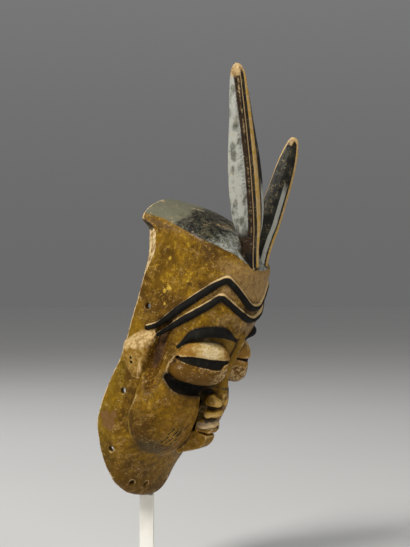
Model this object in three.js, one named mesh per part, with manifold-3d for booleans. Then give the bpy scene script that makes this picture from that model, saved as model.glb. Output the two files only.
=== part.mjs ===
// Carved wooden face mask with two upright horns, held on a painted post that stands on a round foot.
// Millimetres. +Z is up, the mask looks along -Y and its own right side is at -X.
// The origin is the centre of the foot's underside.
// The mask is carved in its own frame: x across, -y forward, z along its height; then it is tilted forward.
import * as THREE from "three";
import { ConvexGeometry } from "three/addons/geometries/ConvexGeometry.js";
import { mergeVertices } from "three/addons/utils/BufferGeometryUtils.js";
import Module from "manifold-3d";

const wasm = await Module();
wasm.setup();

// Mask as a whole
const TILT = THREE.MathUtils.degToRad(17.5);
const RIM_CENTRE_FORWARD = 41;
const MASK_BACK = 54.5;
const MASK_LIFT = 110;
const WALL = 9;
const CROWN_WALL = 10;
const FACE_THICKER = 7;
const HOLLOW_FLOOR = -1;
const HOLLOW_BACK = -90;
const BOTTOM = -8;
const TOP = 350;

// Outline of the bowl along its height: half width, front, start of the round part, cut back edge
const HALF_WIDTH = [[-8, 38], [-4, 47], [0, 52], [10, 61], [22, 65], [40, 72], [65, 78], [95, 79.5], [130, 78],
  [165, 74.5], [202, 70], [245, 65], [289, 62], [316, 60.5], [325, 57.5], [334, 50], [342, 37], [350, 16]];
const FRONT = [[-8, 47], [0, 50.5], [20, 52.5], [40, 57], [60, 65], [85, 76.5], [110, 84], [140, 89.5], [170, 97.5],
  [200, 105.5], [225, 110], [240, 114], [255, 114], [285, 114], [300, 113.5], [308, 107], [320, 93], [332, 78],
  [342, 61], [350, 38]];
const ROUND_START = [[-8, 10], [40, 14], [80, 22], [120, 32], [200, 40], [260, 45], [316, 45], [331, 30], [350, 0]];
const BACK_EDGE = [[-8, 36], [0, 30], [6, 25], [14, 21], [24, 14], [36, 8], [55, 0], [75, -7], [95, -8], [115, -7],
  [138, -4], [160, -0.5], [200, -2], [240, -5], [290, -6], [312, -9], [323, -31], [350, -36]];
// The crown slopes down to the back
const CROWN_SLOPE = 0.05;
const CROWN_FROM = 300;
const CROWN_PIVOT = 40;
const ROUNDNESS = 2.2;

// Soft relief on the bowl: angle from the middle line and height of its centre, half sizes, how far it stands out
const RELIEF = [
  { angle: 48, height: 104, halfAngle: 42, halfHeight: 53, lean: 0.2, out: 12.5, edge: 1.5 }, // cheek and jowl
  { angle: 82, height: 174, halfAngle: 13, halfHeight: 42, lean: 0, out: -8.5, edge: 1.6 }, // valley before the ear
];
const ACROSS_STEPS = 29;
const HEIGHT_STEP = 13.5;

// Raised bands on the forehead and over the eyes, as angle and height from the right end to the middle line
const UPPER_BAND = [[97, 202], [80, 237], [57, 273], [46, 284], [35, 277], [12, 259], [0, 256]];
const LOWER_BAND = [[89, 203], [75, 223], [56, 250], [46, 263], [37, 258], [18, 247], [0, 241]];
const BROW = [[66, 194], [58, 210], [45, 219], [28, 221], [8, 213]];
const BAND_RADIUS = 4.2;
const BROW_RADIUS = 5.6;

// Eyes: all parts of one eye share a middle point on the face and a turn towards its side
const EYE_MIDDLE = [41, 97, 181];
const EYE_TURN = THREE.MathUtils.degToRad(35);
const SOCKET = { sink: -5, radii: [38, 16, 38] };
const SOCKET_CORNER = { middle: [58, 84, 166], turn: THREE.MathUtils.degToRad(52), radii: [25, 11, 25] };
const EYEBALL = { sink: 10, aside: 4, radii: [32.5, 19, 27], boxy: 2.8 };
const LOWER_LID = { middle: [49, 83, 166], turn: THREE.MathUtils.degToRad(40), radii: [27, 17, 13], boxy: 2.3 };
const SLIT_LIFT = 3;
const SLIT_HEIGHT = 6;
const SLIT_DEPTH = 3;
// The trough under the left eye, from its outer end in
const TROUGH = [[68, 64, 154], [63, 70, 147], [55, 76, 143.5], [46, 81, 142], [34, 86, 143.5], [22, 89.5, 145.5],
  [14, 95, 148.5], [9, 103, 152]];
const TROUGH_RADIUS = 5;

// Nose: height, half width and front of each section, from the brow down
const NOSE = [[224, 4, 112], [214, 5.5, 113.6], [200, 5.5, 111.2], [188, 6, 109], [176, 6.5, 107.2], [163, 7, 106.8],
  [152, 7.5, 109], [141, 8.5, 111.5], [134, 9, 111], [129, 9, 108.5]];
const NOSE_FLARE = 2;
const NOSE_SHOULDER = 4;
const NOSE_DEPTH = 24;
const NOSE_WING = { middle: [8.5, 100, 134.5], radii: [9, 10.5, 8.2] };

// Mouth: the sunk field between the cheeks, both lips, and half of the corners of the muzzle, the chin and the jaw
const MOUTH_FIELD = [[27, 86, 152], [23, 83, 130], [19, 81, 108], [13, 75, 82], [9, 68, 62]];
const MOUTH_FIELD_FLARE = 5;
const MOUTH_FIELD_CUT = 50;
const UPPER_LIP = { middle: [0, 100, 120.8], radii: [14, 11.5, 6.3] };
const LOWER_LIP = { middle: [0, 97.5, 107.8], radii: [16.5, 13.5, 5.2] };
const LIP_DROOP = 0.03;
const MUZZLE = [[10, 80, 148], [9, 88, 148], [11, 90, 138], [11, 96, 121], [11, 97, 108], [14, 84, 108], [12, 74, 108],
  [7, 103, 132], [7, 105, 112]];
const CHIN = [[15, 74, 112], [15, 88, 112], [13, 101, 106], [9, 107.5, 101], [10, 102, 93.5], [14, 88, 92], [14, 72, 92]];
const JAW = [[15, 72, 92], [15, 88, 92], [11, 101, 91], [10, 101, 84], [9, 97, 76], [9, 88, 69], [13, 70, 58],
  [18, 58, 80]];

// Ear: the corners of the left block
const EAR = [[66, -1, 176], [66, 14, 199], [66, 42, 208], [81, 35, 193], [82, 15, 187], [76, -1, 174],
  [81, 33, 168], [81, 5, 160], [75, 36, 146], [75, 14, 148], [66, 20, 145]];

// Horns: distance along the horn, half breadth, half depth and forward shift of each section, from root to tip
const HORN_TURN = THREE.MathUtils.degToRad(27);
const HORN_BAND = 5.5;
const RIGHT_HORN = {
  side: -1,
  root: [-11.5, 105.2, 296],
  lean: [-0.31, -0.2, 0.93],
  bow: 0,
  sections: [[0, 10, 7], [22, 11, 9], [40, 13, 12], [56, 18, 15], [80, 22, 16.5], [105, 22.5, 17], [135, 21, 16.5],
    [185, 15, 13.5], [215, 12, 11], [236, 9, 9], [244, 5.5, 6], [247, 2.2, 3]],
};
const LEFT_HORN = {
  side: 1,
  root: [13, 104, 296],
  lean: [0.31, -0.19, 0.93],
  bow: 3,
  sections: [[0, 10, 6], [22, 11, 8, -1.5], [40, 14, 11, -2.5], [56, 18, 13.5, -2.5], [80, 21, 15, -2.5],
    [112, 18, 14, -0.5], [142, 13, 12], [162, 9, 8.5], [170, 5.5, 5.5], [173, 2.2, 3]],
};

// Lacing holes near the rim: a place on the left wall and the way through it
const HOLE_RADIUS = 3.5;
const HOLE_CUT = 44;
const HOLES = [
  { place: [67, 13, 226], way: [1, 0, 0] },
  { place: [79, 17, 123], way: [1, 0, 0] },
  { place: [78, 20, 50], way: [1, 0.1, -0.1] },
  { place: [44, 42, 10], way: [0.45, 0.6, -0.6] },
  { place: [23, 51, 8], way: [0.1, 0.7, -0.6] },
];

// Stand: a round foot, a square post that carries the mask's lower rim, and a steel arm under the crown
const FOOT_RADIUS = 105;
const FOOT_THICK = 20;
const FOOT_BEVEL = 2;
const POST_SIDE = 17;
const POST_ACROSS = 5;
const POST_BACK = 59.9;
const POST_TOP = 119;
const POST_TURN = THREE.MathUtils.degToRad(30);
const CLEARANCE = 0.3;
// Section through the lower rim with some air around it, forward and height in the mask's frame
const NOTCH = [[35.4, -8.6], [47.8, -8.6], [51.6, 0], [53.9, 22], [60, 60], [36, 60], [36, 22], [34, 6],
  [29.5, -0.4]];
const ARM_RADIUS = 3;
const PAD_RADIUS = 12;
const PAD_THICK = 4;
const ARM_FOOT = [5, 64];
const ARM_START = 12;
const ARM_PATH = [[3, 41, 50], [0, 60, 120], [0, 78, 200], [0, 80, 265], [0, 62, 308], [0, 34, 320],
  [0, 24, 332.5]];

// Cuts leave splinters finer than this; they are smoothed away, and corners snap to a fine grid
const SLIVER = 0.05;
const GRID = 0.02;

const shapeOf = (geometry) => {
  const bare = geometry.clone();
  bare.deleteAttribute("normal");
  bare.deleteAttribute("uv");
  const merged = mergeVertices(bare, 1e-4);
  const mesh = new wasm.Mesh({
    numProp: 3,
    vertProperties: new Float32Array(merged.attributes.position.array),
    triVerts: new Uint32Array(merged.index.array),
  });
  return new wasm.Manifold(mesh);
};

const geometryOf = (shape) => {
  const mesh = shape.getMesh();
  const geometry = new THREE.BufferGeometry();
  const places = mesh.vertProperties.map((x) => Math.round(x / GRID) * GRID);
  geometry.setAttribute("position", new THREE.BufferAttribute(places, 3));
  geometry.setIndex(new THREE.BufferAttribute(mesh.triVerts, 1));
  const flat = geometry.toNonIndexed();
  flat.computeVertexNormals();
  return flat;
};

// A smooth value read from a table of [position, value] rows
const valueAt = (table, x) => {
  const last = table.length - 1;
  if (x <= table[0][0]) return table[0][1];
  if (x >= table[last][0]) return table[last][1];
  const i = table.findIndex((row) => row[0] > x) - 1;
  const slope = (k) => {
    const a = table[Math.max(0, k - 1)];
    const b = table[Math.min(last, k + 1)];
    return (b[1] - a[1]) / (b[0] - a[0]);
  };
  const h = table[i + 1][0] - table[i][0];
  const t = (x - table[i][0]) / h;
  return (2 * t ** 3 - 3 * t ** 2 + 1) * table[i][1] + (t ** 3 - 2 * t ** 2 + t) * h * slope(i)
    + (-2 * t ** 3 + 3 * t ** 2) * table[i + 1][1] + (t ** 3 - t ** 2) * h * slope(i + 1);
};

// Mask frame: across, forward, height
const at = (across, forward, height) => new THREE.Vector3(across, -forward, height);

const reliefAt = (angle, height) => {
  let out = 0;
  for (const r of RELIEF) {
    const a = Math.abs((Math.abs(angle) - r.angle - r.lean * (height - r.height)) / r.halfAngle);
    const h = Math.abs((height - r.height) / r.halfHeight);
    const reach = a ** 2 + h ** 2;
    if (reach < 1) out += r.out * (1 - reach ** (r.edge / 2)) ** (1 / r.edge);
  }
  return out;
};

// A point of the bowl's outside, at an angle from the middle line in degrees; past 90 it runs back along the wall
const bowlPoint = (angle, height, inset = 0, lift = 0, thicker = 0) => {
  const w = valueAt(HALF_WIDTH, height) - inset;
  const start = valueAt(ROUND_START, height);
  const deep = valueAt(FRONT, height) - inset - thicker - start;
  const side = Math.sign(angle);
  const a = Math.abs(angle);
  if (a >= 90) {
    return at(side * (w + lift), start - ((a - 90) * w * Math.PI) / 180, height);
  }
  const c = Math.cos((a * Math.PI) / 180);
  const s = Math.sin((a * Math.PI) / 180);
  const k = (s ** ROUNDNESS + c ** ROUNDNESS) ** (-1 / ROUNDNESS);
  const normal = new THREE.Vector2((s * k) ** (ROUNDNESS - 1) / w, (c * k) ** (ROUNDNESS - 1) / deep).normalize();
  return at(side * (w * s * k + normal.x * lift), start + deep * c * k + normal.y * lift, height);
};

// A closed skin through rings of points, closed by a fan at each end
const skin = (rings) => {
  const n = rings[0].length;
  const positions = [];
  const index = [];
  for (const ring of rings) for (const p of ring) positions.push(p.x, p.y, p.z);
  for (let j = 0; j < rings.length - 1; j++) {
    for (let i = 0; i < n; i++) {
      const a = j * n + i;
      const b = j * n + ((i + 1) % n);
      index.push(a, b, b + n, a, b + n, a + n);
    }
  }
  for (const [j, flip] of [[0, true], [rings.length - 1, false]]) {
    const centre = new THREE.Vector3();
    for (const p of rings[j]) centre.addScaledVector(p, 1 / n);
    const c = positions.length / 3;
    positions.push(centre.x, centre.y, centre.z);
    for (let i = 0; i < n; i++) {
      const a = j * n + i;
      const b = j * n + ((i + 1) % n);
      index.push(...(flip ? [b, a, c] : [a, b, c]));
    }
  }
  const geometry = new THREE.BufferGeometry();
  geometry.setAttribute("position", new THREE.Float32BufferAttribute(positions, 3));
  geometry.setIndex(index);
  return shapeOf(geometry);
};

// The angle at which a level of the bowl meets its cut back edge
const edgeAngle = (height, inset, thicker, back) => {
  const w = valueAt(HALF_WIDTH, height) - inset;
  const start = valueAt(ROUND_START, height);
  if (back <= start) return 90 + THREE.MathUtils.radToDeg((start - back) / w);
  const share = (back - start) / (valueAt(FRONT, height) - inset - thicker - start);
  return THREE.MathUtils.radToDeg(Math.atan2((1 - share ** ROUNDNESS) ** (1 / ROUNDNESS), share));
};

// One level of the bowl from its right back edge round the front to the left back edge
const bowlRing = (height, steps, { inset = 0, thicker = 0, back, carved = false }) => {
  const most = edgeAngle(height, inset, thicker, back);
  const slope = CROWN_SLOPE * THREE.MathUtils.smoothstep(height, CROWN_FROM, TOP);
  const ring = [];
  for (let i = 0; i <= steps; i++) {
    const angle = -most + (2 * most * i) / steps;
    const fade = THREE.MathUtils.smoothstep(most - Math.abs(angle), 0, 8);
    const p = bowlPoint(angle, height, inset, carved ? reliefAt(angle, height) * fade : 0, thicker);
    p.z += slope * (-p.y - CROWN_PIVOT);
    ring.push(p);
  }
  return ring;
};

const levels = (from, to, step) => {
  const count = Math.ceil((to - from) / step);
  return Array.from({ length: count + 1 }, (_, i) => from + ((to - from) * i) / count);
};

const bowl = () => {
  const heights = [BOTTOM, -4, 0, 6, 14, ...levels(24, 316, HEIGHT_STEP), 324, 331, 338, 345, TOP];
  return skin(heights.map((h) => bowlRing(h, ACROSS_STEPS, { back: valueAt(BACK_EDGE, h), carved: true })));
};

// The face is thicker than the side walls, most of all behind eyes and nose
const hollow = () => {
  const heights = [HOLLOW_FLOOR, 6, 16, ...levels(30, 300, 27), 316, 327, TOP - CROWN_WALL];
  return skin(heights.map((h) => {
    const share = THREE.MathUtils.smoothstep(h, 0, 90) * THREE.MathUtils.smoothstep(330 - h, 0, 60);
    const thicker = FACE_THICKER * share;
    return bowlRing(h, 20, { inset: WALL, thicker, back: HOLLOW_BACK });
  }));
};

// A ball scaled to three radii; boxy above 2 squares it off
const ellipsoid = (centre, radii, { turn = 0, boxy = 2, droop = 0, wide = 16, high = 10 } = {}) => {
  const geometry = new THREE.SphereGeometry(1, wide, high);
  geometry.rotateX(Math.PI / 2);
  const places = geometry.attributes.position;
  for (let i = 0; i < places.count; i++) {
    const p = new THREE.Vector3().fromBufferAttribute(places, i);
    const size = Math.abs(p.x) ** boxy + Math.abs(p.y) ** boxy + Math.abs(p.z) ** boxy;
    p.multiplyScalar(size ** (-1 / boxy));
    places.setXYZ(i, p.x * radii[0], p.y * radii[1], p.z * radii[2] - droop * (p.x * radii[0]) ** 2);
  }
  geometry.rotateZ(turn);
  geometry.translate(centre[0], -centre[1], centre[2]);
  return shapeOf(geometry);
};

// An ellipsoid of the left eye, sunk below the face by a distance along the eye's own outward direction
const eyePiece = ({ sink, aside = 0, lift = 0, radii, ...shaping }) => {
  const centre = [
    EYE_MIDDLE[0] - Math.sin(EYE_TURN) * sink + Math.cos(EYE_TURN) * aside,
    EYE_MIDDLE[1] - Math.cos(EYE_TURN) * sink - Math.sin(EYE_TURN) * aside,
    EYE_MIDDLE[2] + lift,
  ];
  return ellipsoid(centre, radii, { turn: EYE_TURN, ...shaping });
};

const mirrored = (shape) => shape.add(shape.mirror([1, 0, 0]));

// A bar of six sides along a smooth line
const bar = (points, radius, steps) => {
  const profile = new THREE.Shape();
  profile.absarc(0, 0, radius, 0, 2 * Math.PI, false);
  const extrudePath = new THREE.CatmullRomCurve3(points, false, "centripetal");
  return shapeOf(new THREE.ExtrudeGeometry(profile, { steps, curveSegments: 3, bevelEnabled: false, extrudePath }));
};

// A round ridge laid along points of the bowl
const ridge = (path, radius, whole) => {
  const half = path.map(([angle, height]) => bowlPoint(-angle, height, 0, 0));
  const other = path.slice(0, -1).reverse().map(([angle, height]) => bowlPoint(angle, height, 0, 0));
  return bar(whole ? half.concat(other) : half, radius, whole ? 28 : 9);
};

const horn = ({ side, root, lean, bow, sections }) => {
  const start = at(...root);
  const axis = at(...lean).normalize();
  const facing = new THREE.Vector3(side * Math.sin(HORN_TURN), -Math.cos(HORN_TURN), 0);
  facing.addScaledVector(axis, -facing.dot(axis)).normalize();
  const across = new THREE.Vector3().crossVectors(axis, facing).normalize();
  const rings = sections.map(([along, breadth, depth, shift = 0]) => {
    const band = Math.min(HORN_BAND, breadth * 0.6);
    const outline = [[-band, depth], [band, depth], [breadth * 0.8, depth * 0.5], [breadth, 0],
      [breadth * 0.78, -depth * 0.5], [breadth * 0.3, -depth * 0.85], [-breadth * 0.3, -depth * 0.85],
      [-breadth * 0.78, -depth * 0.5], [-breadth, 0], [-breadth * 0.8, depth * 0.5]];
    const bend = bow * Math.sin((Math.PI * along) / sections[sections.length - 1][0]);
    return outline.map(([p, q]) => start.clone()
      .addScaledVector(axis, along)
      .add(new THREE.Vector3(0, bend, 0))
      .addScaledVector(across, p)
      .addScaledVector(facing, q + shift));
  });
  const shape = skin(rings.map((ring) => ring.slice().reverse()));
  return shape.volume() > 0 ? shape : skin(rings);
};

// The closed eye's slit: a shallow groove that follows the eyeball
const slit = () => {
  const [long, deep, high] = EYEBALL.radii;
  const outer = eyePiece({ ...EYEBALL, lift: SLIT_LIFT, radii: [long - 1, deep + 2, SLIT_HEIGHT], wide: 20, high: 6 });
  const inner = eyePiece({ ...EYEBALL, radii: [long - SLIT_DEPTH, deep - SLIT_DEPTH, high] });
  return outer.subtract(inner);
};

const nose = () => {
  const rings = NOSE.map(([height, half, front]) => {
    const right = [[half + NOSE_FLARE, NOSE_DEPTH], [half, NOSE_SHOULDER], [half * 0.45, 0]];
    const left = right.slice().reverse();
    return [
      ...right.map(([u, sunk]) => at(-u, front - sunk, height)),
      ...left.map(([u, sunk]) => at(u, front - sunk, height)),
    ];
  });
  const shape = skin(rings);
  const bridge = shape.volume() > 0 ? shape : skin(rings.map((ring) => ring.slice().reverse()));
  return bridge.add(mirrored(ellipsoid(NOSE_WING.middle, NOSE_WING.radii, { wide: 12, high: 8 })));
};

// The sunk field round nose and mouth, bounded by the inner edges of the cheeks
const mouthField = () => {
  const points = [];
  for (const [across, floor, height] of MOUTH_FIELD) {
    for (const side of [-1, 1]) {
      points.push(at(side * across, floor, height));
      points.push(at(side * (across + MOUTH_FIELD_FLARE), floor + MOUTH_FIELD_CUT, height));
    }
  }
  return shapeOf(new ConvexGeometry(points));
};

const block = (corners) => {
  const points = [];
  for (const [across, forward, height] of corners) {
    points.push(at(across, forward, height), at(-across, forward, height));
  }
  return shapeOf(new ConvexGeometry(points));
};

const mouth = () => {
  const upper = ellipsoid(UPPER_LIP.middle, UPPER_LIP.radii, { wide: 12, high: 8, droop: LIP_DROOP });
  const lower = ellipsoid(LOWER_LIP.middle, LOWER_LIP.radii, { wide: 12, high: 8, droop: LIP_DROOP });
  return block(MUZZLE).add(block(CHIN)).add(block(JAW)).add(upper).add(lower);
};

const ear = () => shapeOf(new ConvexGeometry(EAR.map(([u, f, v]) => at(u, f, v))));

const hole = ([across, forward, height], [du, df, dv], radius) => {
  const geometry = new THREE.CylinderGeometry(radius, radius, HOLE_CUT, 12);
  const direction = at(du, df, dv).normalize();
  geometry.applyQuaternion(new THREE.Quaternion().setFromUnitVectors(new THREE.Vector3(0, 1, 0), direction));
  geometry.translate(across, -forward, height);
  return shapeOf(geometry);
};

const mask = () => {
  let shape = bowl().subtract(mouthField());
  shape = shape.subtract(mirrored(eyePiece(SOCKET)));
  const { middle, radii, turn } = SOCKET_CORNER;
  shape = shape.subtract(mirrored(ellipsoid(middle, radii, { turn })));
  shape = shape.subtract(mirrored(bar(TROUGH.map((place) => at(...place)), TROUGH_RADIUS, 7)));
  shape = shape.add(mirrored(eyePiece(EYEBALL)));
  const { middle: lidMiddle, radii: lidRadii, ...lidShaping } = LOWER_LID;
  shape = shape.add(mirrored(ellipsoid(lidMiddle, lidRadii, { ...lidShaping, wide: 12, high: 8 })));
  shape = shape.add(nose()).add(mouth()).add(mirrored(ear()));
  shape = shape.add(ridge(UPPER_BAND, BAND_RADIUS, true)).add(ridge(LOWER_BAND, BAND_RADIUS, true));
  shape = shape.add(mirrored(ridge(BROW, BROW_RADIUS, false)));
  shape = shape.add(horn(RIGHT_HORN)).add(horn(LEFT_HORN));
  shape = shape.subtract(mirrored(slit()));
  shape = shape.subtract(hollow());
  for (const { place, way } of HOLES) {
    shape = shape.subtract(mirrored(hole(place, way, HOLE_RADIUS)));
  }
  return shape;
};

const placeMask = (shape) => {
  const geometry = geometryOf(shape);
  geometry.translate(0, RIM_CENTRE_FORWARD, 0);
  geometry.rotateX(TILT);
  geometry.translate(0, MASK_BACK, MASK_LIFT);
  return geometry;
};

const foot = () => {
  const inner = FOOT_RADIUS - FOOT_BEVEL;
  const profile = [[0, 0], [inner, 0], [FOOT_RADIUS, FOOT_BEVEL], [FOOT_RADIUS, FOOT_THICK - FOOT_BEVEL],
    [inner, FOOT_THICK], [0, FOOT_THICK]];
  const geometry = new THREE.LatheGeometry(profile.map(([x, y]) => new THREE.Vector2(x, y)), 48);
  geometry.rotateX(Math.PI / 2);
  return shapeOf(geometry);
};

const placed = (shape) => shapeOf(placeMask(shape));

// The square post, its top notched for the mask's lower rim: a step in front and a tongue behind
const post = () => {
  const base = FOOT_THICK + CLEARANCE;
  const geometry = new THREE.BoxGeometry(POST_SIDE, POST_SIDE, POST_TOP - base);
  geometry.rotateZ(POST_TURN);
  geometry.translate(POST_ACROSS, POST_BACK, (POST_TOP + base) / 2);
  const outline = new THREE.Shape(NOTCH.map(([forward, height]) => new THREE.Vector2(-forward, height)));
  const notch = new THREE.ExtrudeGeometry(outline, { depth: 4 * POST_SIDE, bevelEnabled: false });
  notch.translate(0, 0, -2 * POST_SIDE);
  notch.applyMatrix4(new THREE.Matrix4().makeBasis(
    new THREE.Vector3(0, 1, 0),
    new THREE.Vector3(0, 0, 1),
    new THREE.Vector3(1, 0, 0),
  ));
  return shapeOf(geometry).subtract(placed(shapeOf(notch)));
};

const arm = () => {
  const start = new THREE.Vector3(ARM_FOOT[0], ARM_FOOT[1], POST_TOP + CLEARANCE);
  const toWorld = ([across, forward, height]) => at(across, forward, height)
    .add(new THREE.Vector3(0, RIM_CENTRE_FORWARD, 0))
    .applyAxisAngle(new THREE.Vector3(1, 0, 0), TILT)
    .add(new THREE.Vector3(0, MASK_BACK, MASK_LIFT));
  const curve = new THREE.CatmullRomCurve3([start, start.clone().add(new THREE.Vector3(0, 0, ARM_START)),
    ...ARM_PATH.map(toWorld)], false, "centripetal");
  const profile = new THREE.Shape();
  profile.absarc(0, 0, ARM_RADIUS, 0, 2 * Math.PI, false);
  const rod = shapeOf(new THREE.ExtrudeGeometry(profile, {
    steps: 20,
    curveSegments: 5,
    bevelEnabled: false,
    extrudePath: curve,
  }));
  const pad = new THREE.CylinderGeometry(PAD_RADIUS, PAD_RADIUS, PAD_THICK, 16);
  pad.rotateX(Math.PI / 2);
  const end = ARM_PATH[ARM_PATH.length - 1];
  pad.translate(end[0], -end[1], end[2] + PAD_THICK / 2);
  return rod.add(placed(shapeOf(pad)));
};

const paintedWood = new THREE.MeshStandardMaterial({ color: 0x6e4a10, roughness: 0.6, metalness: 0 });
const whitePaint = new THREE.MeshStandardMaterial({ color: 0xd8d6ca, roughness: 0.5, metalness: 0 });
const steel = new THREE.MeshStandardMaterial({ color: 0x8c8c8a, roughness: 0.4, metalness: 1 });

const group = new THREE.Group();
const add = (name, geometry, material) => {
  const mesh = new THREE.Mesh(geometry, material);
  mesh.name = name;
  group.add(mesh);
};
add("mask", placeMask(mask().simplify(SLIVER)), paintedWood);
add("stand_foot", geometryOf(foot()), whitePaint);
add("stand_post", geometryOf(post()), whitePaint);
add("stand_arm", geometryOf(arm()), steel);

export default group;
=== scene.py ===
import functools
import math
from types import SimpleNamespace

import bmesh
import bpy
import numpy as np
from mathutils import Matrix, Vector


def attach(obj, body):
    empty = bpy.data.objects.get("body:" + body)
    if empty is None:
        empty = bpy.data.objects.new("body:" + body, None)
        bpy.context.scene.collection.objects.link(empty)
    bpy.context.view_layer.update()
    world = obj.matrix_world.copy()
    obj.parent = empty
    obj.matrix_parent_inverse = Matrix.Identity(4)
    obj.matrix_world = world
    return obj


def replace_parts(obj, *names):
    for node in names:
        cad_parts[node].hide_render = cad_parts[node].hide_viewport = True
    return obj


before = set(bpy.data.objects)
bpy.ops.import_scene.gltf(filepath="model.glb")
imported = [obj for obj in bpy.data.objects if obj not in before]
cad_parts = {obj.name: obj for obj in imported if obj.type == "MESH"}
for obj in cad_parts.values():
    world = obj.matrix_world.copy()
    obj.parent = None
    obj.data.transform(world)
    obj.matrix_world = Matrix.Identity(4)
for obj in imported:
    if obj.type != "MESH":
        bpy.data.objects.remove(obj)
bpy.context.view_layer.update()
mm = 0.001

# How the carving stands: tipped forward about its rim, then set back and lifted onto the post
maskPlace = {
    "tilt": 17.5, "rimCentre": 41, "back": 54.5, "lift": 110, "gridStep": 1.3, "mostTriangles": 190000,
    # where the rim sits on the post: forward, and how far round that place the wood stays true
    "restAt": 44, "restRound": 26,
}

# The hollow bowl: most values are tables of [height, millimetres]
bowl = {
    "bottom": -8, "top": 350, "wall": 9, "crownWall": 10, "faceThicker": 7, "leastWall": 5, "hollowFloor": -1,
    "roundness": 2.2, "crownSlope": 0.05, "crownFrom": 300, "crownPivot": 40,
    "halfWidth": [[-8, 38], [-4, 47], [0, 52], [10, 61], [22, 65], [40, 72], [65, 78], [95, 79.5], [130, 78],
                  [165, 74.5], [202, 70], [245, 65], [289, 62], [316, 60.5], [325, 57.5], [334, 50], [342, 37],
                  [350, 16]],
    "front": [[-8, 47], [0, 50.5], [20, 52.5], [40, 57], [60, 65], [85, 76.5], [110, 84], [140, 89.5], [170, 97.5],
              [200, 105.5], [225, 110], [240, 114], [255, 114], [285, 114], [300, 113], [308, 106], [318, 93],
              [326, 81], [333, 66], [338, 52], [343, 39], [347, 25], [350, 12]],
    "roundStart": [[-8, 10], [40, 14], [80, 22], [120, 32], [200, 40], [260, 45], [316, 45], [331, 30], [350, 0]],
    "backEdge": [[-8, 36], [0, 30], [6, 25], [14, 21], [24, 14], [36, 8], [55, 0], [75, -7], [95, -8], [115, -7],
                 [138, -4], [160, -0.5], [200, -2], [240, -5], [280, -7], [300, -12], [313, -17], [322, -31],
                 [350, -36]],
    "hairline": [[0, 300], [25, 306], [34, 312], [48, 316], [62, 319], [90, 323], [107, 326], [125, 330]],
}
# Raised jowls and the valley in front of the ears, as rows of angle round the bowl and height, and the grid of
# angles and heights on which both are worked out
relief = {"angles": 120, "low": 20, "high": 250, "step": 1.5}
jowl = {
    "outline": [[93, 182], [92, 148], [89, 122], [87, 102], [79, 87], [66, 70], [49, 58], [30, 51], [12, 51], [4, 64],
                [3, 92], [6, 112], [10, 126], [14, 146], [18, 166], [50, 178], [74, 184]],
    "out": 13, "shoulder": 40, "edge": 2, "foot": 9, "fade": [165, 116], "across": 1.32,
}
valley = {
    "line": [[89, 210], [87, 192], [84, 172], [81, 156], [74, 142]],
    "deep": [[0, 7], [0.25, 11], [0.6, 10], [0.85, 5.5], [1, 2]],
    "halfWidth": [[0, 16], [0.5, 17], [1, 11]],
}
# Raised bands, as rows of angle and height; a whole one runs on over the middle to the other side
ridges = {
    "upper": {"path": [[105, 203], [95, 212], [80, 238], [57, 273], [48.5, 283], [46, 284.5], [43.5, 283.5],
                       [35, 277], [12, 259], [0, 256]], "radius": 4.2, "end": 3, "taper": 0.12, "whole": True},
    "lower": {"path": [[91, 200], [75, 223], [56, 250], [48.5, 261], [46, 263], [43.5, 262], [37, 258], [18, 247],
                       [0, 241]], "radius": 4.2, "end": 3, "taper": 0.12, "whole": True},
    "brow": {"path": [[66, 194], [58, 210], [45, 219], [28, 221], [8, 213]],
             "radius": 6.6, "end": 1.8, "taper": 0.35, "whole": False},
}
eye = {
    "middle": [41, 97, 181],
    "turn": 35,
    "socket": {"sink": -5, "radii": [38, 16, 38]},
    "corner": {"middle": [58, 84, 166], "turn": 52, "radii": [25, 11, 25]},
    # the trough under the eye
    "trough": {"line": [[-68, 64, 156], [-63, 70, 149.3], [-55, 76, 146.2], [-46, 81, 145], [-34, 86, 146.3],
                        [-22, 89.5, 147.5], [-14, 95, 149.5], [-9, 103, 152]],
               "radius": 6.8, "end": 3, "taper": 0.3},
    "ball": {"sink": 10, "aside": 4, "radii": [32.5, 19, 26.2], "boxy": 2.8},
    # the closed eye's dark band: its upper and lower edge along the eye, inner corner first
    "slitTop": [[-29, 8], [-24, 9], [-12, 9], [0, 8.4], [8, 8.4], [17, 8.2], [30, 6], [38, 1]],
    "slitBottom": [[-29, 7], [-24, 5.5], [-19, 4], [-15.5, -1.5], [-11, -3.2], [-4, -3.2], [6, -2.8], [17, -2.4],
                   [30, -1.2], [38, -0.5]],
    "lowerLid": {"middle": [48, 83.5, 167.5], "turn": 40, "radii": [27.5, 17, 12.4], "boxy": 2.5},
    "slitDepth": 2.4,
}
nose = {
    "sections": [[129, 9, 107.5], [134, 9, 109.5], [141, 8.5, 110], [152, 7.5, 109], [163, 7, 106.8],
                 [176, 6.5, 107.2], [188, 6, 109], [200, 5.5, 111.2], [214, 5.5, 113.6], [224, 4, 112]],
    # its flat front as a share of the half width, the shoulder beside it, and how far back its sides reach
    "flat": 0.45, "shoulder": [0.9, 4], "back": 24,
    "wing": {"middle": [8.5, 100, 134.5], "radii": [9, 10.5, 8.2]},
    "spread": 2, "soft": 2.5,
}
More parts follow.
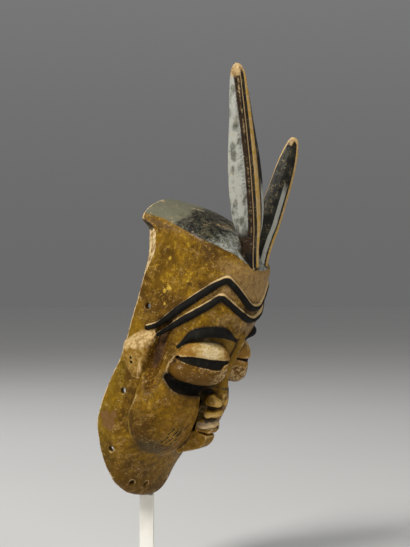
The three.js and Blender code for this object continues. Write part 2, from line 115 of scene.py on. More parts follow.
mouth = {
    "field": [[27, 86, 152], [23, 83, 130], [19, 81, 108], [13, 75, 82], [9, 68, 62]], "flare": 5, "cut": 50,
    "muzzle": [[9, 88, 148], [11, 90, 138], [11, 96, 121], [11, 97, 108], [14, 84, 108], [7, 103, 132],
               [7, 105, 112]],
    "upperLip": {"middle": [0, 99.5, 121.5], "radii": [14, 12.3, 7.6]},
    "lowerLip": {"middle": [0, 97.5, 107.8], "radii": [16.5, 13.5, 5.2]},
    "droop": 0.03,
    "chin": [[15, 88, 112], [13, 102, 106], [9, 109.5, 102], [10, 106, 94.5], [14, 88, 93]],
    "jaw": [[15, 88, 93], [11, 105, 92], [10, 105, 84], [9, 101, 76.5], [9, 91, 68.5], [13, 73, 58], [18, 58, 80]],
}
ear = [[83, 7, 175], [83.5, 25.5, 177], [82, 33.5, 156], [79, 25, 145], [79, 17, 149], [82, 7, 168], [68, -5, 178],
       [68, 18, 200], [68, 37, 203.5], [75, 32, 185], [75, 36, 160], [74, 37, 144], [66, -5, 164], [64, 37, 142],
       [64, 18, 142]]
earPins = {"places": [[-82, 17.5, 164.5], [-82, 19, 159.5]], "radius": 1.7, "deep": 1.4, "squeeze": (0.2, 1, 1)}
lacing = {
    "radius": 3.5, "reach": 22, "room": 26,
    "holes": [
        {"place": [67, 13, 226], "way": [1, 0, 0]},
        {"place": [79, 17, 123], "way": [1, 0, 0]},
        {"place": [78, 20, 50], "way": [1, 0.1, -0.1]},
        {"place": [44, 42, 10], "way": [0.45, 0.6, -0.6]},
        {"place": [23, 51, 8], "way": [0.1, 0.7, -0.6]},
    ],
}
# Horn sections: distance along, half breadth, half depth, forward shift
horns = {
    "right": {
        "side": -1, "root": [-11.5, 105.2, 296], "lean": [-0.31, -0.2, 0.93], "bow": 0,
        "sections": [[0, 10, 7, 0], [22, 11, 9, 0], [40, 13, 12, 0], [56, 18, 15, 0], [80, 22, 16.5, 0],
                     [105, 22.5, 17, 0], [135, 21, 16.5, 0], [185, 15, 13.5, 0], [215, 12, 11, 0], [236, 9, 9, 0],
                     [244, 5.5, 6, 0], [247, 2.2, 3, 0]],
    },
    "left": {
        "side": 1, "root": [13, 104, 296], "lean": [0.31, -0.19, 0.93], "bow": 3,
        "sections": [[0, 10, 6, 0], [22, 11, 8, -1.5], [40, 14, 11, -2.5], [56, 18, 13.5, -2.5], [80, 21, 15, -2.5],
                     [112, 18, 14, -0.5], [142, 13, 12, 0], [162, 9, 8.5, 0], [170, 5.5, 5.5, 0], [173, 2.2, 3, 0]],
    },
    # the section's corners after the front band, as shares of half breadth and half depth
    "turn": 27, "band": 5.5, "bandShare": 0.6, "corners": [[0.8, 0.5], [1, 0], [0.78, -0.5], [0.3, -0.85]],
    "groove": {"beside": 3.2, "half": 2.2, "deep": 1.1, "from": 48, "short": 14},
}
cellCorners = [(i, j, k) for i in (0, 1) for j in (0, 1) for k in (0, 1)]


# A smooth value read from a table of [position, value] rows
def readTable(table, x):
    rows = np.array(table, np.float32)
    places, values = rows[:, 0], rows[:, 1]
    last = len(rows) - 1
    x = np.clip(x, places[0], places[-1])
    i = np.clip(np.searchsorted(places, x, side="right") - 1, 0, last - 1)
    before, after = np.maximum(i - 1, 0), np.minimum(i + 2, last)
    slopeA = (values[i + 1] - values[before]) / (places[i + 1] - places[before])
    slopeB = (values[after] - values[i]) / (places[after] - places[i])
    h = places[i + 1] - places[i]
    t = (x - places[i]) / h
    return ((2 * t**3 - 3 * t**2 + 1) * values[i] + (t**3 - 2 * t**2 + t) * h * slopeA
            + (3 * t**2 - 2 * t**3) * values[i + 1] + (t**3 - t**2) * h * slopeB)


def smoothStep(x, low, high):
    t = np.clip((x - low) / (high - low), 0, 1)
    return t * t * (3 - 2 * t)


# Union and cut with a soft corner, all in millimetres
def softMin(a, b, soft):
    h = np.maximum(soft - np.abs(a - b), 0) / soft
    return np.minimum(a, b) - h * h * soft / 4


def softMax(a, b, soft):
    return -softMin(-a, -b, soft)


def least(*parts):
    return functools.reduce(np.minimum, parts)


# Millimetres inside a range, below 0 outside it
def within(x, low, high):
    return np.minimum(x - low, high - x)


# Distance to the bowl's outside, then the angle round it, its own height, half width and where its rounding starts
def bowlPlace(across, forward, height, inset=0, thicker=0):
    slope = bowl["crownSlope"] * smoothStep(height, bowl["crownFrom"], bowl["top"])
    level = height - slope * (forward - bowl["crownPivot"])
    width = readTable(bowl["halfWidth"], level) - inset
    start = readTable(bowl["roundStart"], level)
    deep = readTable(bowl["front"], level) - inset - thicker - start
    x = np.abs(across) / width
    y = np.maximum(forward - start, 0) / deep
    n = bowl["roundness"]
    r = np.maximum((x**n + y**n) ** (1 / n), 1e-4)
    steep = np.sqrt((x ** (n - 1) / width) ** 2 + (y ** (n - 1) / deep) ** 2) / r ** (n - 1)
    angle = np.where(forward < start, 90 + np.degrees((start - forward) / width), np.degrees(np.arctan2(x, y)))
    return (r - 1) / np.maximum(steep, 1e-4), angle, level, width, start


# The hollow's own bowl, with thicker walls at the face
def innerPlace(across, forward, height):
    share = smoothStep(height, 0, 90) * smoothStep(330 - height, 0, 60)
    return bowlPlace(across, forward, height, bowl["wall"], bowl["faceThicker"] * share)


def reliefTable():
    angles, levels = np.arange(0, relief["angles"] + 1, 1.0), np.arange(relief["low"], relief["high"], relief["step"])
    a, v = np.meshgrid(angles, levels, indexing="ij")
    spots = np.stack([a.ravel() * jowl["across"], v.ravel(), 0 * v.ravel()], axis=1)
    ring = [[x * jowl["across"], y, 0] for x, y in jowl["outline"]]
    ring = smoothLine([ring[-1]] + ring + ring[:2], 160)
    gap = nearLine(spots, ring)[0].reshape(a.shape)
    inside = np.zeros(a.shape, bool)
    for (x0, y0, _), (x1, y1, _) in zip(ring, np.roll(ring, -1, axis=0)):
        crosses = (y0 > v) != (y1 > v)
        inside ^= crosses & (a * jowl["across"] < (x1 - x0) * (v - y0) / (y1 - y0 if y1 != y0 else 1) + x0)
    depth = np.where(inside, gap, -gap)
    share = np.clip(depth / jowl["shoulder"], 0, 1)
    lift = jowl["out"] * (1 - (1 - share) ** jowl["edge"]) ** (1 / jowl["edge"]) * smoothStep(depth, -1, jowl["foot"])
    lift = lift * smoothStep(-v, -jowl["fade"][0], -jowl["fade"][1])
    line = smoothLine([[x * jowl["across"], y, 0] for x, y in valley["line"]], 50)
    gap, along, _ = nearLine(spots, line)
    gap, along = gap.reshape(a.shape), along.reshape(a.shape)
    near = np.clip(gap / readTable(valley["halfWidth"], along), 0, 1)
    return lift - readTable(valley["deep"], along) * (1 - near * near) ** 2, depth, near


def tableAt(table, angle, level):
    a = np.clip(angle, 0, relief["angles"] - 0.1)
    v = np.clip((level - relief["low"]) / relief["step"], 0, table.shape[1] - 1.01)
    i, j = a.astype(int), v.astype(int)
    a, v = a - i, v - j
    return ((table[i, j] * (1 - v) + table[i, j + 1] * v) * (1 - a)
            + (table[i + 1, j] * (1 - v) + table[i + 1, j + 1] * v) * a)


# A block of air on a grid; negative inside the wood
class Block:
    def __init__(self, low, high, step):
        self.low = np.array(low, np.float32)
        self.step = step
        self.axes = [np.arange(a, b, step, dtype=np.float32) for a, b in zip(low, high)]
        self.field = np.full([len(axis) for axis in self.axes], 50, np.float32)

    def window(self, low, high):
        cuts = tuple(slice(*np.searchsorted(axis, (a, b))) for axis, a, b in zip(self.axes, low, high))
        across, forward, height = (axis[cut] for axis, cut in zip(self.axes, cuts))
        return cuts, across[:, None, None], forward[None, :, None], height[None, None, :]

    def add(self, shape, low, high, soft):
        cuts, *places = self.window(low, high)
        self.field[cuts] = softMin(self.field[cuts], shape(*places), soft)

    def cut(self, shape, low, high, soft):
        cuts, *places = self.window(low, high)
        self.field[cuts] = softMax(self.field[cuts], -shape(*places), soft)


# Wood between the outside of the bowl, its cut back edge, its top and its bottom
def bowlOutside(across, forward, height):
    out, angle, level, width, start = bowlPlace(across, forward, height)
    backEdge = readTable(bowl["backEdge"], level)
    edge = 90 + np.degrees((start - backEdge) / width)
    out = out - tableAt(reliefLift, angle, level) * smoothStep(edge - angle, 0, 8)
    step = maskPlace["gridStep"]
    out = out / np.sqrt(1 + np.gradient(out, step, axis=2) ** 2)
    back = backEdge - forward
    back = back / np.sqrt(1 + np.gradient(backEdge, step, axis=2) ** 2)
    out = softMax(out, back, 2.5)
    return softMax(out, np.maximum(level - bowl["top"], bowl["bottom"] - height), 4)


# The hollow keeps some wood behind the valleys and the eye sockets
def hollowInside(across, forward, height):
    inner, _, level, _, _ = innerPlace(across, forward, height)
    inner = inner / np.sqrt(1 + np.gradient(inner, maskPlace["gridStep"], axis=2) ** 2)
    out, angle, _, _, _ = bowlPlace(across, forward, height)
    lift = np.minimum(tableAt(reliefLift, angle, level), 0)
    inner = softMax(inner, out - lift + bowl["leastWall"], 3)
    for sunk in (socketShape, cornerShape):
        inner = softMax(inner, bowl["leastWall"] - sunk(across, forward, height), 3)
    ceiling = level - (bowl["top"] - bowl["crownWall"])
    return softMax(inner, np.maximum(ceiling, bowl["hollowFloor"] - height), 5)


# A ball scaled to three radii, on both sides of the middle line; boxy above 2 squares it off
def ball(middle, radii, turn=0, boxy=2):
    c, s = math.cos(math.radians(turn)), math.sin(math.radians(turn))

    def shape(across, forward, height):
        du, df = np.abs(across) - middle[0], forward - middle[1]
        parts = (np.abs(du * c - df * s) / radii[0], np.abs(du * s + df * c) / radii[1],
                 np.abs(height - middle[2]) / radii[2])
        r = np.maximum(sum(p**boxy for p in parts) ** (1 / boxy), 1e-3)
        steep = np.sqrt(sum((p ** (boxy - 1) / size) ** 2 for p, size in zip(parts, radii))) / r ** (boxy - 1)
        return (r - 1) / np.maximum(steep, 1e-4)

    return shape


def eyePart(sink, radii, boxy=2, aside=0):
    turn = math.radians(eye["turn"])
    middle = [eye["middle"][0] - math.sin(turn) * sink + math.cos(turn) * aside,
              eye["middle"][1] - math.cos(turn) * sink - math.sin(turn) * aside, eye["middle"][2]]
    return ball(middle, radii, eye["turn"], boxy)


# Along the eye, out of the face and above its middle
def eyePlace(across, forward, height):
    turn = math.radians(eye["turn"])
    du, df = np.abs(across) - eye["middle"][0], forward - eye["middle"][1]
    return (du * math.cos(turn) - df * math.sin(turn), du * math.sin(turn) + df * math.cos(turn),
            height - eye["middle"][2])


# A block with flat faces through given corners, and through their mirror images where it sits in the middle
def hull(corners, sides=(-1, 1)):
    corners = [[side * u, f, v] for u, f, v in corners for side in sides]
    mesh = bmesh.new()
    for corner in corners:
        mesh.verts.new(corner)
    bmesh.ops.convex_hull(mesh, input=mesh.verts)
    mesh.normal_update()
    middle = Vector(np.mean(corners, axis=0))
    planes = {}
    for face in mesh.faces:
        normal = face.normal if face.normal.dot(face.verts[0].co - middle) > 0 else -face.normal
        planes[tuple(round(x, 2) for x in normal)] = (tuple(normal), normal.dot(face.verts[0].co))
    mesh.free()

    def shape(across, forward, height):
        out = None
        for (a, f, h), reach in planes.values():
            plane = a * across + f * forward + h * height - reach
            out = plane if out is None else softMax(out, plane, 1.2)
        return out

    return shape


# Cuts a form to flat facets through a row of corners of its section
def facets(out, side, deep, corners, soft):
    for (a, b), (c, d) in zip(corners, corners[1:]):
        du, df = c - a, d - b
        size = np.sqrt(du * du + df * df)
        out = softMax(out, ((side - a) * -df + (deep - b) * du) / size, soft)
    return out


def noseShape(across, forward, height):
    half = readTable([[h, w] for h, w, _ in nose["sections"]], height)
    front = readTable([[h, f] for h, _, f in nose["sections"]], height)
    wide, drop = nose["shoulder"]
    corners = [(half * nose["flat"], front), (half * wide, front - drop),
               (half + nose["spread"], front - nose["back"])]
    out = facets(forward - front, np.abs(across), forward, corners, nose["soft"])
    low, high = nose["sections"][0][0], nose["sections"][-1][0]
    return softMax(out, np.abs(height - (low + high) / 2) - (high - low) / 2, nose["soft"])


# A smooth line through points, evenly sampled
def smoothLine(points, count):
    points = np.array(points, float)
    steps = np.sqrt(np.linalg.norm(np.diff(points, axis=0), axis=1))
    t = np.concatenate([[0], np.cumsum(steps)])
    fine = np.linspace(0, t[-1], count)
    return np.stack([readTable(list(zip(t, points[:, k])), fine) for k in range(3)], axis=1)


# A point on the bowl's plain outside from its angle and height
def onBowl(angle, height):
    width = float(readTable(bowl["halfWidth"], height))
    start = float(readTable(bowl["roundStart"], height))
    deep = float(readTable(bowl["front"], height)) - start
    side, a, n = math.copysign(1, angle), math.radians(abs(angle)), bowl["roundness"]
    if abs(angle) >= 90:
        return [side * width, start - (a - math.pi / 2) * width, height]
    c, s = math.cos(a), math.sin(a)
    k = (s**n + c**n) ** (-1 / n)
    return [side * width * s * k, start + deep * c * k, height]


def ridgeLine(ridge):
    line = [onBowl(-angle, height) for angle, height in ridge["path"]]
    if ridge["whole"]:
        line += [onBowl(angle, height) for angle, height in ridge["path"][-2::-1]]
    return smoothLine(line, 90 if ridge["whole"] else 36)


# Distance to a line, and which share of it is nearest
def nearLine(points, line):
    best = np.full(len(points), 1e9)
    share = np.zeros(len(points))
    lift = np.zeros(len(points))
    for i in range(len(line) - 1):
        a, d = line[i], line[i + 1] - line[i]
        t = np.clip((points - a) @ d / (d @ d), 0, 1)
        gap = points - a - t[:, None] * d
        far = np.einsum("ij,ij->i", gap, gap)
        closer = far < best
        best = np.where(closer, far, best)
        share = np.where(closer, (i + t) / (len(line) - 1), share)
        lift = np.where(closer, gap[:, 2], lift)
    return np.sqrt(best), share, lift


def thickness(form, share):
    taper = smoothStep(0.5 - np.abs(share - 0.5), 0, form["taper"])
    return form["end"] + (form["radius"] - form["end"]) * taper


def flatPoints(*parts):
    return np.stack([part.ravel() for part in np.broadcast_arrays(*parts)], axis=1)


# The trough under each eye, as distance to its line
def troughShape(across, forward, height):
    line = smoothLine(eye["trough"]["line"], 40)
    distance, share, _ = nearLine(flatPoints(-np.abs(across), forward, height), line)
    out = distance - thickness(eye["trough"], share)
    return out.reshape(np.broadcast_shapes(np.shape(across), np.shape(forward), np.shape(height)))


def ridgeShape(ridge):
    line = ridgeLine(ridge)

    def shape(across, forward, height):
        points = flatPoints(across if ridge["whole"] else -np.abs(across), forward, height)
        bowlGap = bowlPlace(across, forward, height)[0]
        out = np.full(len(points), 30.0)
        near = np.abs(bowlGap).ravel() < 9
        distance, share, _ = nearLine(points[near], line)
        out[near] = distance - thickness(ridge, share)
        return out.reshape(bowlGap.shape).astype(np.float32)

    return shape


# Where a point lies in a horn: along it, across it, towards its front, and the section's two half sizes
def hornPlace(horn, across, forward, height):
    axis = np.array(horn["lean"]) / np.linalg.norm(horn["lean"])
    turn = math.radians(horns["turn"])
    facing = np.array([horn["side"] * math.sin(turn), math.cos(turn), 0])
    facing -= axis * (facing @ axis)
    facing /= np.linalg.norm(facing)
    sideways = np.cross(facing, axis)
    rel = [across - horn["root"][0], forward - horn["root"][1], height - horn["root"][2]]
    along = sum(r * a for r, a in zip(rel, axis))
    length = horn["sections"][-1][0]
    rel[1] = rel[1] + horn["bow"] * np.sin(np.pi * np.clip(along / length, 0, 1))
    p = sum(r * a for r, a in zip(rel, sideways))
    breadth, depth, shift = (readTable([[row[0], row[k]] for row in horn["sections"]], along) for k in (1, 2, 3))
    q = sum(r * a for r, a in zip(rel, facing)) - shift
    return along, p, q, breadth, depth


def hornShape(horn):
    def shape(across, forward, height):
        along, p, q, breadth, depth = hornPlace(horn, across, forward, height)
        band = np.minimum(horns["band"], breadth * horns["bandShare"])
        half = [(band, depth)] + [(breadth * wide, depth * deep) for wide, deep in horns["corners"]]
        out = facets(np.maximum(q - depth, half[-1][1] - q), np.abs(p), q, half, 1.2)
        # a rough groove beside the front band on the outer side
        groove, length = horns["groove"], horn["sections"][-1][0]
        cut = softMax(np.abs(p * horn["side"] - band - groove["beside"]) - groove["half"], depth * 0.5 - q, 1)
        cut = np.maximum(cut, -within(along, groove["from"], length - groove["short"]))
        out = softMax(out, -np.maximum(cut, -out - groove["deep"]), 0.6)
        return np.maximum(out, -within(along, 0, length))

    return shape


def holeShape(hole):
    way = np.array(hole["way"]) / np.linalg.norm(hole["way"])

    def shape(across, forward, height):
        rel = [np.abs(across) - hole["place"][0], forward - hole["place"][1], height - hole["place"][2]]
        along = sum(r * w for r, w in zip(rel, way))
        aside = np.sqrt(np.maximum(sum(r * r for r in rel) - along * along, 0))
        return np.maximum(aside - lacing["radius"], np.abs(along) - lacing["reach"])

    return shape


# The dark band of the closed eye; some wood stays behind it
def slitShape(across, forward, height):
    q1, _, q3 = eyePlace(across, forward, height)
    band = -within(q3, readTable(eye["slitBottom"], q1), readTable(eye["slitTop"], q1))
    band = np.maximum(band, -within(q1, eye["slitTop"][0][0], eye["slitTop"][-1][0]))
    band = softMax(band, -eyeBallShape(across, forward, height) - eye["slitDepth"], 1)
    return np.maximum(band, bowl["leastWall"] * 0.7 - hollowInside(across, forward, height))


fieldCorners = [[u + flare, f + cut, v] for u, f, v in mouth["field"]
                for flare, cut in ((0, 0), (mouth["flare"], mouth["cut"]))]
mouthField, chinShape, jawShape = hull(fieldCorners), hull(mouth["chin"]), hull(mouth["jaw"])
muzzleShape, earHull = hull(mouth["muzzle"]), hull(ear, (1,))
socketShape, eyeBallShape = eyePart(**eye["socket"]), eyePart(**eye["ball"])
cornerShape, lowerLidShape = ball(**eye["corner"]), ball(**eye["lowerLid"])
reliefLift, jowlInside, valleyNear = reliefTable()


# A lip droops towards its corners
def lipShape(lip):
    whole = ball(**lip)
    return lambda across, forward, height: whole(across, forward, height + mouth["droop"] * across * across)


def earShape(across, forward, height):
    return earHull(np.abs(across), forward, height)


# The same order as the wood is worked in: block, sockets, features, horns, then the slits, the hollow and the holes.
# Each step has its form, the low and high corner of the space it works in, and how soft its corners turn out
def carveMask():
    bowlSpace = [-97, -42, -12], [91, 122, 354]
    block = Block(bowlSpace[0], [91, 122, 530], maskPlace["gridStep"])
    cuts, *places = block.window(*bowlSpace)
    block.field[cuts] = bowlOutside(*places)
    print("mask: bowl")
    for form, low, high, soft in (
        (mouthField, [-44, 60, 50], [44, 122, 170], 2.5),
        (socketShape, [-92, 40, 130], [92, 122, 232], 2.5),
        (cornerShape, [-92, 40, 130], [92, 122, 200], 2.5),
        (troughShape, [-84, 50, 126], [-4, 122, 172], 2.5),
        (troughShape, [4, 50, 126], [84, 122, 172], 2.5),
    ):
        block.cut(form, low, high, soft)
    for form, low, high, soft in (
        (eyeBallShape, [-84, 40, 140], [84, 122, 222], 1.5),
        (lowerLidShape, [-84, 40, 140], [84, 122, 190], 2.5),
        (noseShape, [-24, 70, 130], [24, 122, 232], 3),
        (ball(**nose["wing"]), [-24, 70, 124], [24, 122, 156], 2.5),
        (muzzleShape, [-26, 60, 100], [26, 122, 160], 3),
        (lipShape(mouth["upperLip"]), [-26, 60, 92], [26, 122, 136], 1),
        (lipShape(mouth["lowerLip"]), [-26, 60, 92], [26, 122, 136], 1),
        (jawShape, [-26, 50, 50], [26, 122, 120], 3),
        (chinShape, [-26, 50, 50], [26, 122, 120], 1),
        (earShape, [-90, -10, 138], [90, 50, 214], 1.2),
        *((ridgeShape(ridge), [-88, 0, 186], [88, 122, 292], 1.2) for ridge in ridges.values()),
        (hornShape(horns["right"]), [-97, 30, 290], [12, 122, 530], 2.5),
        (hornShape(horns["left"]), [-12, 30, 290], [91, 122, 470], 2.5),
    ):
        block.add(form, low, high, soft)
    print("mask: features and horns")
    block.cut(slitShape, [-84, 50, 168], [84, 122, 198], 1)
    block.cut(hollowInside, *bowlSpace, 1.5)
    for hole in lacing["holes"]:
        _, f, v = hole["place"]
        block.cut(holeShape(hole), [-97, f - lacing["room"], v - lacing["room"]],
                  [91, f + lacing["room"], v + lacing["room"]], 0.8)
    return block


# A closed skin round the wood: one point in every grid cell that the surface passes, one face for every crossing
def skinOf(block):
    field, step = block.field, block.step
    inside = field < 0
    count = np.zeros([n - 1 for n in field.shape], np.int8)
    for i, j, k in cellCorners:
        count += inside[i:i + count.shape[0], j:j + count.shape[1], k:k + count.shape[2]]
    cells = np.argwhere((count > 0) & (count < 8))
    number = np.full(count.shape, -1, np.int64)
    number[tuple(cells.T)] = np.arange(len(cells))
    value = {c: field[cells[:, 0] + c[0], cells[:, 1] + c[1], cells[:, 2] + c[2]] for c in cellCorners}
    total = np.zeros((len(cells), 3))
    hits = np.zeros(len(cells))
    for a in cellCorners:
        for axis in range(3):
            if a[axis]:
                continue
            b = tuple(1 if k == axis else x for k, x in enumerate(a))
            crossed = (value[a] < 0) != (value[b] < 0)
            t = np.where(crossed, value[a] / np.where(crossed, value[a] - value[b], 1), 0)
            spot = np.array(a, float)[None, :].repeat(len(cells), 0)
            spot[:, axis] = t
            total += spot * crossed[:, None]
            hits += crossed
    points = block.low + (cells + total / hits[:, None]) * step
    faces = []
    for axis in range(3):
        others = [k for k in range(3) if k != axis]
        near = inside.take(range(field.shape[axis] - 1), axis)
        far = inside.take(range(1, field.shape[axis]), axis)
        for sign, crossed in ((1, near & ~far), (-1, far & ~near)):
            edges = np.argwhere(crossed)
            ring = []
            for da, db in ((0, 0), (1, 0), (1, 1), (0, 1)):
                cell = edges.copy()
                cell[:, others[0]] -= 1 - da
                cell[:, others[1]] -= 1 - db
                ring.append(number[tuple(cell.T)])
            quads = np.stack(ring, axis=1)
            if (sign > 0) == (axis == 1):
                quads = quads[:, ::-1]
            faces.append(quads)
    return points, np.concatenate(faces)


# The field's value and slope at any point, for settling the skin onto the surface
def sampleField(block, points, field=None):
    field = block.field if field is None else field
    spot = (points - block.low) / block.step
    base = np.clip(np.floor(spot).astype(int), 0, np.array(field.shape) - 2)
    t = (spot - base).T
    value = np.zeros(len(points))
    slope = np.zeros((len(points), 3))
    for corner in cellCorners:
        part = field[tuple((base + corner).T)]
        wx, wy, wz = (t[axis] if far else 1 - t[axis] for axis, far in enumerate(corner))
        value += part * wx * wy * wz
        for axis, (a, b) in enumerate(((wy, wz), (wx, wz), (wx, wy))):
            slope[:, axis] += part * (1 if corner[axis] else -1) * a * b
    return value, slope / block.step


def relax(points, faces, share):
    total = np.zeros_like(points)
    hits = np.zeros(len(points))
    for k in range(4):
        for other in ((k + 1) % 4, (k - 1) % 4):
            np.add.at(total, faces[:, k], points[faces[:, other]])
            np.add.at(hits, faces[:, k], 1)
    return points + (total / hits[:, None] - points) * share


# How round or hollow the wood is at each point: the mean of the field nearby, less the field itself
def roundness(block, points, reach):
    blurred = block.field
    cells = max(1, round(reach / block.step))
    for axis in range(3):
        parts = [np.roll(blurred, shift, axis) for shift in range(-cells, cells + 1)]
        blurred = sum(parts) / len(parts)
    return sampleField(block, points, blurred)[0] - sampleField(block, points)[0]


# Soft lumps: random values on a grid, blended smoothly, from -1 to 1
def lumps(points, size, seed):
    values = np.random.default_rng(seed).uniform(-1, 1, (17, 17, 17))
    spot = points / size
    base = np.floor(spot).astype(int)
    t = spot - base
    t = t * t * (3 - 2 * t)
    total = 0
    for corner in cellCorners:
        part = values[tuple(((base + corner) % 17).T)]
        wx, wy, wz = np.where(corner, t, 1 - t).T
        total = total + part * (wx * wy * wz)
    return total


# How deep and how large the marks of the tools are: soft waver, small facets, rougher ones about the mouth, gouges
tool = {
    "waver": 0.5, "waverSize": 34, "facet": 0.2, "facetSize": 8, "snout": 2.0, "snoutSize": 5.5,
    "gouge": 1.0, "gougeWide": 15, "gougeLong": 34, "gougeSway": 0.18, "gougeRound": 52,
}
stainsAndLight = {
    # a painted highlight with some pale wear in the middle of each upper eyelid, and painted shade on the lower end
    # of the jowl with its height squeezed
    "lid": [48, 101, 199], "jowlEndShade": [-67, 69, 49], "jowlSqueeze": (1, 1, 0.4),
    # cut strokes on the near cheek, as pairs of ends
    "strokes": [[[-53, 0, 97], [-56, 0, 89]], [[-46, 0, 96], [-49, 0, 88]], [[-39, 0, 95], [-42, 0, 87]],
                [[-54, 0, 85], [-57, 0, 77]], [[-47, 0, 84], [-50, 0, 76]], [[-40, 0, 83], [-43, 0, 75]]],
    "strokeHalf": 0.9, "strokeDeep": 1.2,
    # places on the near wall, each with a radius: bare reddish wood, white specks, chips, dark greasy spots
    "reddish": [[-80, 9, 80, 9], [-80, 3, 87, 7], [-79, 14, 92, 5]],
    "white": [[-78, 31, 60, 1.3], [-68, 29, 24, 1.6], [-45, 84, 113, 1.1], [-79, 10, 47, 0.9], [-66, 41, 36, 0.9]],
    "chips": [[-64.2, 33, 255, 3], [-64.5, 29, 250, 2.2], [-61.9, 22.5, 288, 2], [-66, 34, 236, 1.6],
              [-62, 54, 270, 1.5]],
    "greasy": [[-60, 62, 66, 15], [-66, 55, 74, 11], [-52, 68, 64, 10]],
}


# A value where a condition holds, and well outside the paint elsewhere
def only(here, value):
    return np.where(here, value, -9.0)


# What each point of the wood is painted with: signed millimetres, above 0 inside the paint
def paintZones(points):
    across, forward, height = points.T
    side = np.abs(across)
    off, far = np.full(len(points), -9.0), np.full(len(points), 20.0)
    out, angle, level, _, _ = bowlPlace(across, forward, height)
    hollow = innerPlace(across, forward, height)[0]
    inHollow = np.minimum(1.2 - hollow, bowl["top"] - bowl["crownWall"] + 1.5 - level)
    back = readTable(bowl["backEdge"], level) - forward
    strip = 8 * smoothStep(level, 255, 300) * smoothStep(-level, -319, -314)
    zones = {
        "hollow": inHollow,
        "rim": np.minimum(back + 1.9 + strip * (across < 0), level + 6),
        "underLip": least(within(level, 312, 322), back + 12),
        "cap": only(inHollow <= 0, level - readTable(bowl["hairline"], angle)),
    }

    # horns: how deep inside, how far across, behind the front face, along, and from the tip
    horn, about = off, np.zeros((4, len(points)))
    for shape in (horns["right"], horns["left"]):
        gap = hornShape(shape)(across, forward, height)
        a, p, q, _, depth = hornPlace(shape, across, forward, height)
        here = (gap < 1.2) & (a > 4)
        horn = np.maximum(horn, only(a > 4, 1.2 - gap))
        length = shape["sections"][-1][0]
        about = np.where(here, np.array([p * shape["side"], depth - q, a, length - a]), about)
    outer, front, along, tip = about
    zones.update(horn=horn, hornOut=outer, hornFront=front, hornAlong=along, hornTip=np.where(horn > 0, tip, 99))

    # bands on the forehead, black on the lower side of their ridges with bare wood and a painted highlight above, and
    # the brows
    band, lit = off.copy(), off.copy()
    near = (np.abs(out) < 9) & (height > 180) & (height < 300)
    for ridge in ridges.values():
        spot = points[near]
        if not ridge["whole"]:
            spot[:, 0] = -np.abs(spot[:, 0])
        distance, share, lift = nearLine(spot, ridgeLine(ridge))
        radius = thickness(ridge, share)
        inside = radius + 0.5 - distance
        edge = 0.62 * radius - lift if ridge["whole"] else inside
        band[near] = np.maximum(band[near], least(inside, edge))
        if ridge["whole"]:
            lit[near] = np.maximum(lit[near], least(inside + 0.4, lift - 0.62 * radius))
    zones.update(band=band, litEdge=lit)

    # eyes
    q1, _, q3 = eyePlace(across, forward, height)
    ballGap = softMin(eyeBallShape(across, forward, height), lowerLidShape(across, forward, height), 2.5)
    slit = least(within(q3, readTable(eye["slitBottom"], q1), readTable(eye["slitTop"], q1)), within(q1, -29, 37))
    low = (height > 120) & (height < 175) & (forward > 45)
    trough = far.copy()
    trough[low] = troughShape(across[low], forward[low], height[low])
    # black in the trough under each eye and up to its ball, partly paint and partly painted shade
    nearer = smoothStep(-side, -36, -20)
    under = least(2 + 4.5 * nearer - ballGap, 162 - height, -q3 - 14)
    under = np.maximum(least(1.4 + 2.2 * nearer - trough, 160 - height), under)
    line = least(3.8 - np.abs(height - 142.3 - 0.47 * (forward - 88)), within(side, 8.6, 26), forward - 84)
    under = np.maximum(np.minimum(under, side - 11.5), line)
    sockets = least(socketShape(across, forward, height), cornerShape(across, forward, height), trough)
    corner = (ballGap > 2) & (q1 > 27) & (height < 196)
    zones.update({
        "slit": only((ballGap < 1.5) & (ballGap > -5), slit + 0.4),
        "underEye": only(ballGap > 0.15, under),
        # painted shade below the trough under each eye
        "shadow": only((ballGap > 0.3) & (side > 14), 6 - trough),
        # painted highlight along the outer rim of each eye socket
        "socketEdge": only(corner, within(sockets, 0.1, 2.6)),
        "lid": only(q3 > 0, 1.5 - np.abs(ballGap)),
        "lowerLid": only(q3 < 0, 1.5 - np.abs(ballGap)),
    })

    # nose, mouth, cheeks and ears
    field, bridge = mouthField(across, forward, height), noseShape(across, forward, height)
    lip = lipShape(mouth["lowerLip"])(across, forward, height)
    # the recesses beside the nose and the mouth, painted dark as shade
    recess = least(1.6 - np.abs(field), within(height, 92, 158))
    beside = least(94 - forward, 15 - side, within(height, 106, 151))
    cheekEdge = least(within(field, 0.1, 2.4), side - 15, within(height, 70, 141))
    zones.update({
        "recess": np.maximum(recess, only(forward > 60, beside)),
        "cheekEdge": only(out > -1, cheekEdge),
        "noseFoot": least(within(bridge, 0.3, 2.4), within(height, 150, 216)),
        "muzzle": only((forward > 94) & (height > 104) & (height < 146), 16 - side),
        "paleLip": least(1.2 - np.abs(lip), forward - 86, 113.5 - mouth["droop"] * across * across - height),
        "valley": 1 - tableAt(valleyNear, angle, level),
        "jowl": only(np.abs(out) < 20, tableAt(jowlInside, angle, level)),
        "ear": 1.5 - np.abs(earShape(across, forward, height)),
    })
    pins = least(far, *(np.linalg.norm((points - pin) * earPins["squeeze"], axis=1) for pin in earPins["places"]))
    flat = points * [1, 0, 1]
    strokes = least(far, *(nearLine(flat, np.array(ends, float))[0] for ends in stainsAndLight["strokes"]))
    nearWall = (across < 0) & (forward > 20) & (inHollow < 0)
    zones["pin"] = only(across < -74, earPins["radius"] - pins)
    zones["stroke"] = only(nearWall, stainsAndLight["strokeHalf"] - strokes)
    return zones


# The carving's own frame to the scene's, in metres
def toScene(points):
    tilt = math.radians(maskPlace["tilt"])
    across, forward, height = np.asarray(points, float).T
    y = maskPlace["rimCentre"] - forward
    return np.stack([
        across,
        y * math.cos(tilt) - height * math.sin(tilt) + maskPlace["back"],
        y * math.sin(tilt) + height * math.cos(tilt) + maskPlace["lift"],
    ], axis=1) * mm


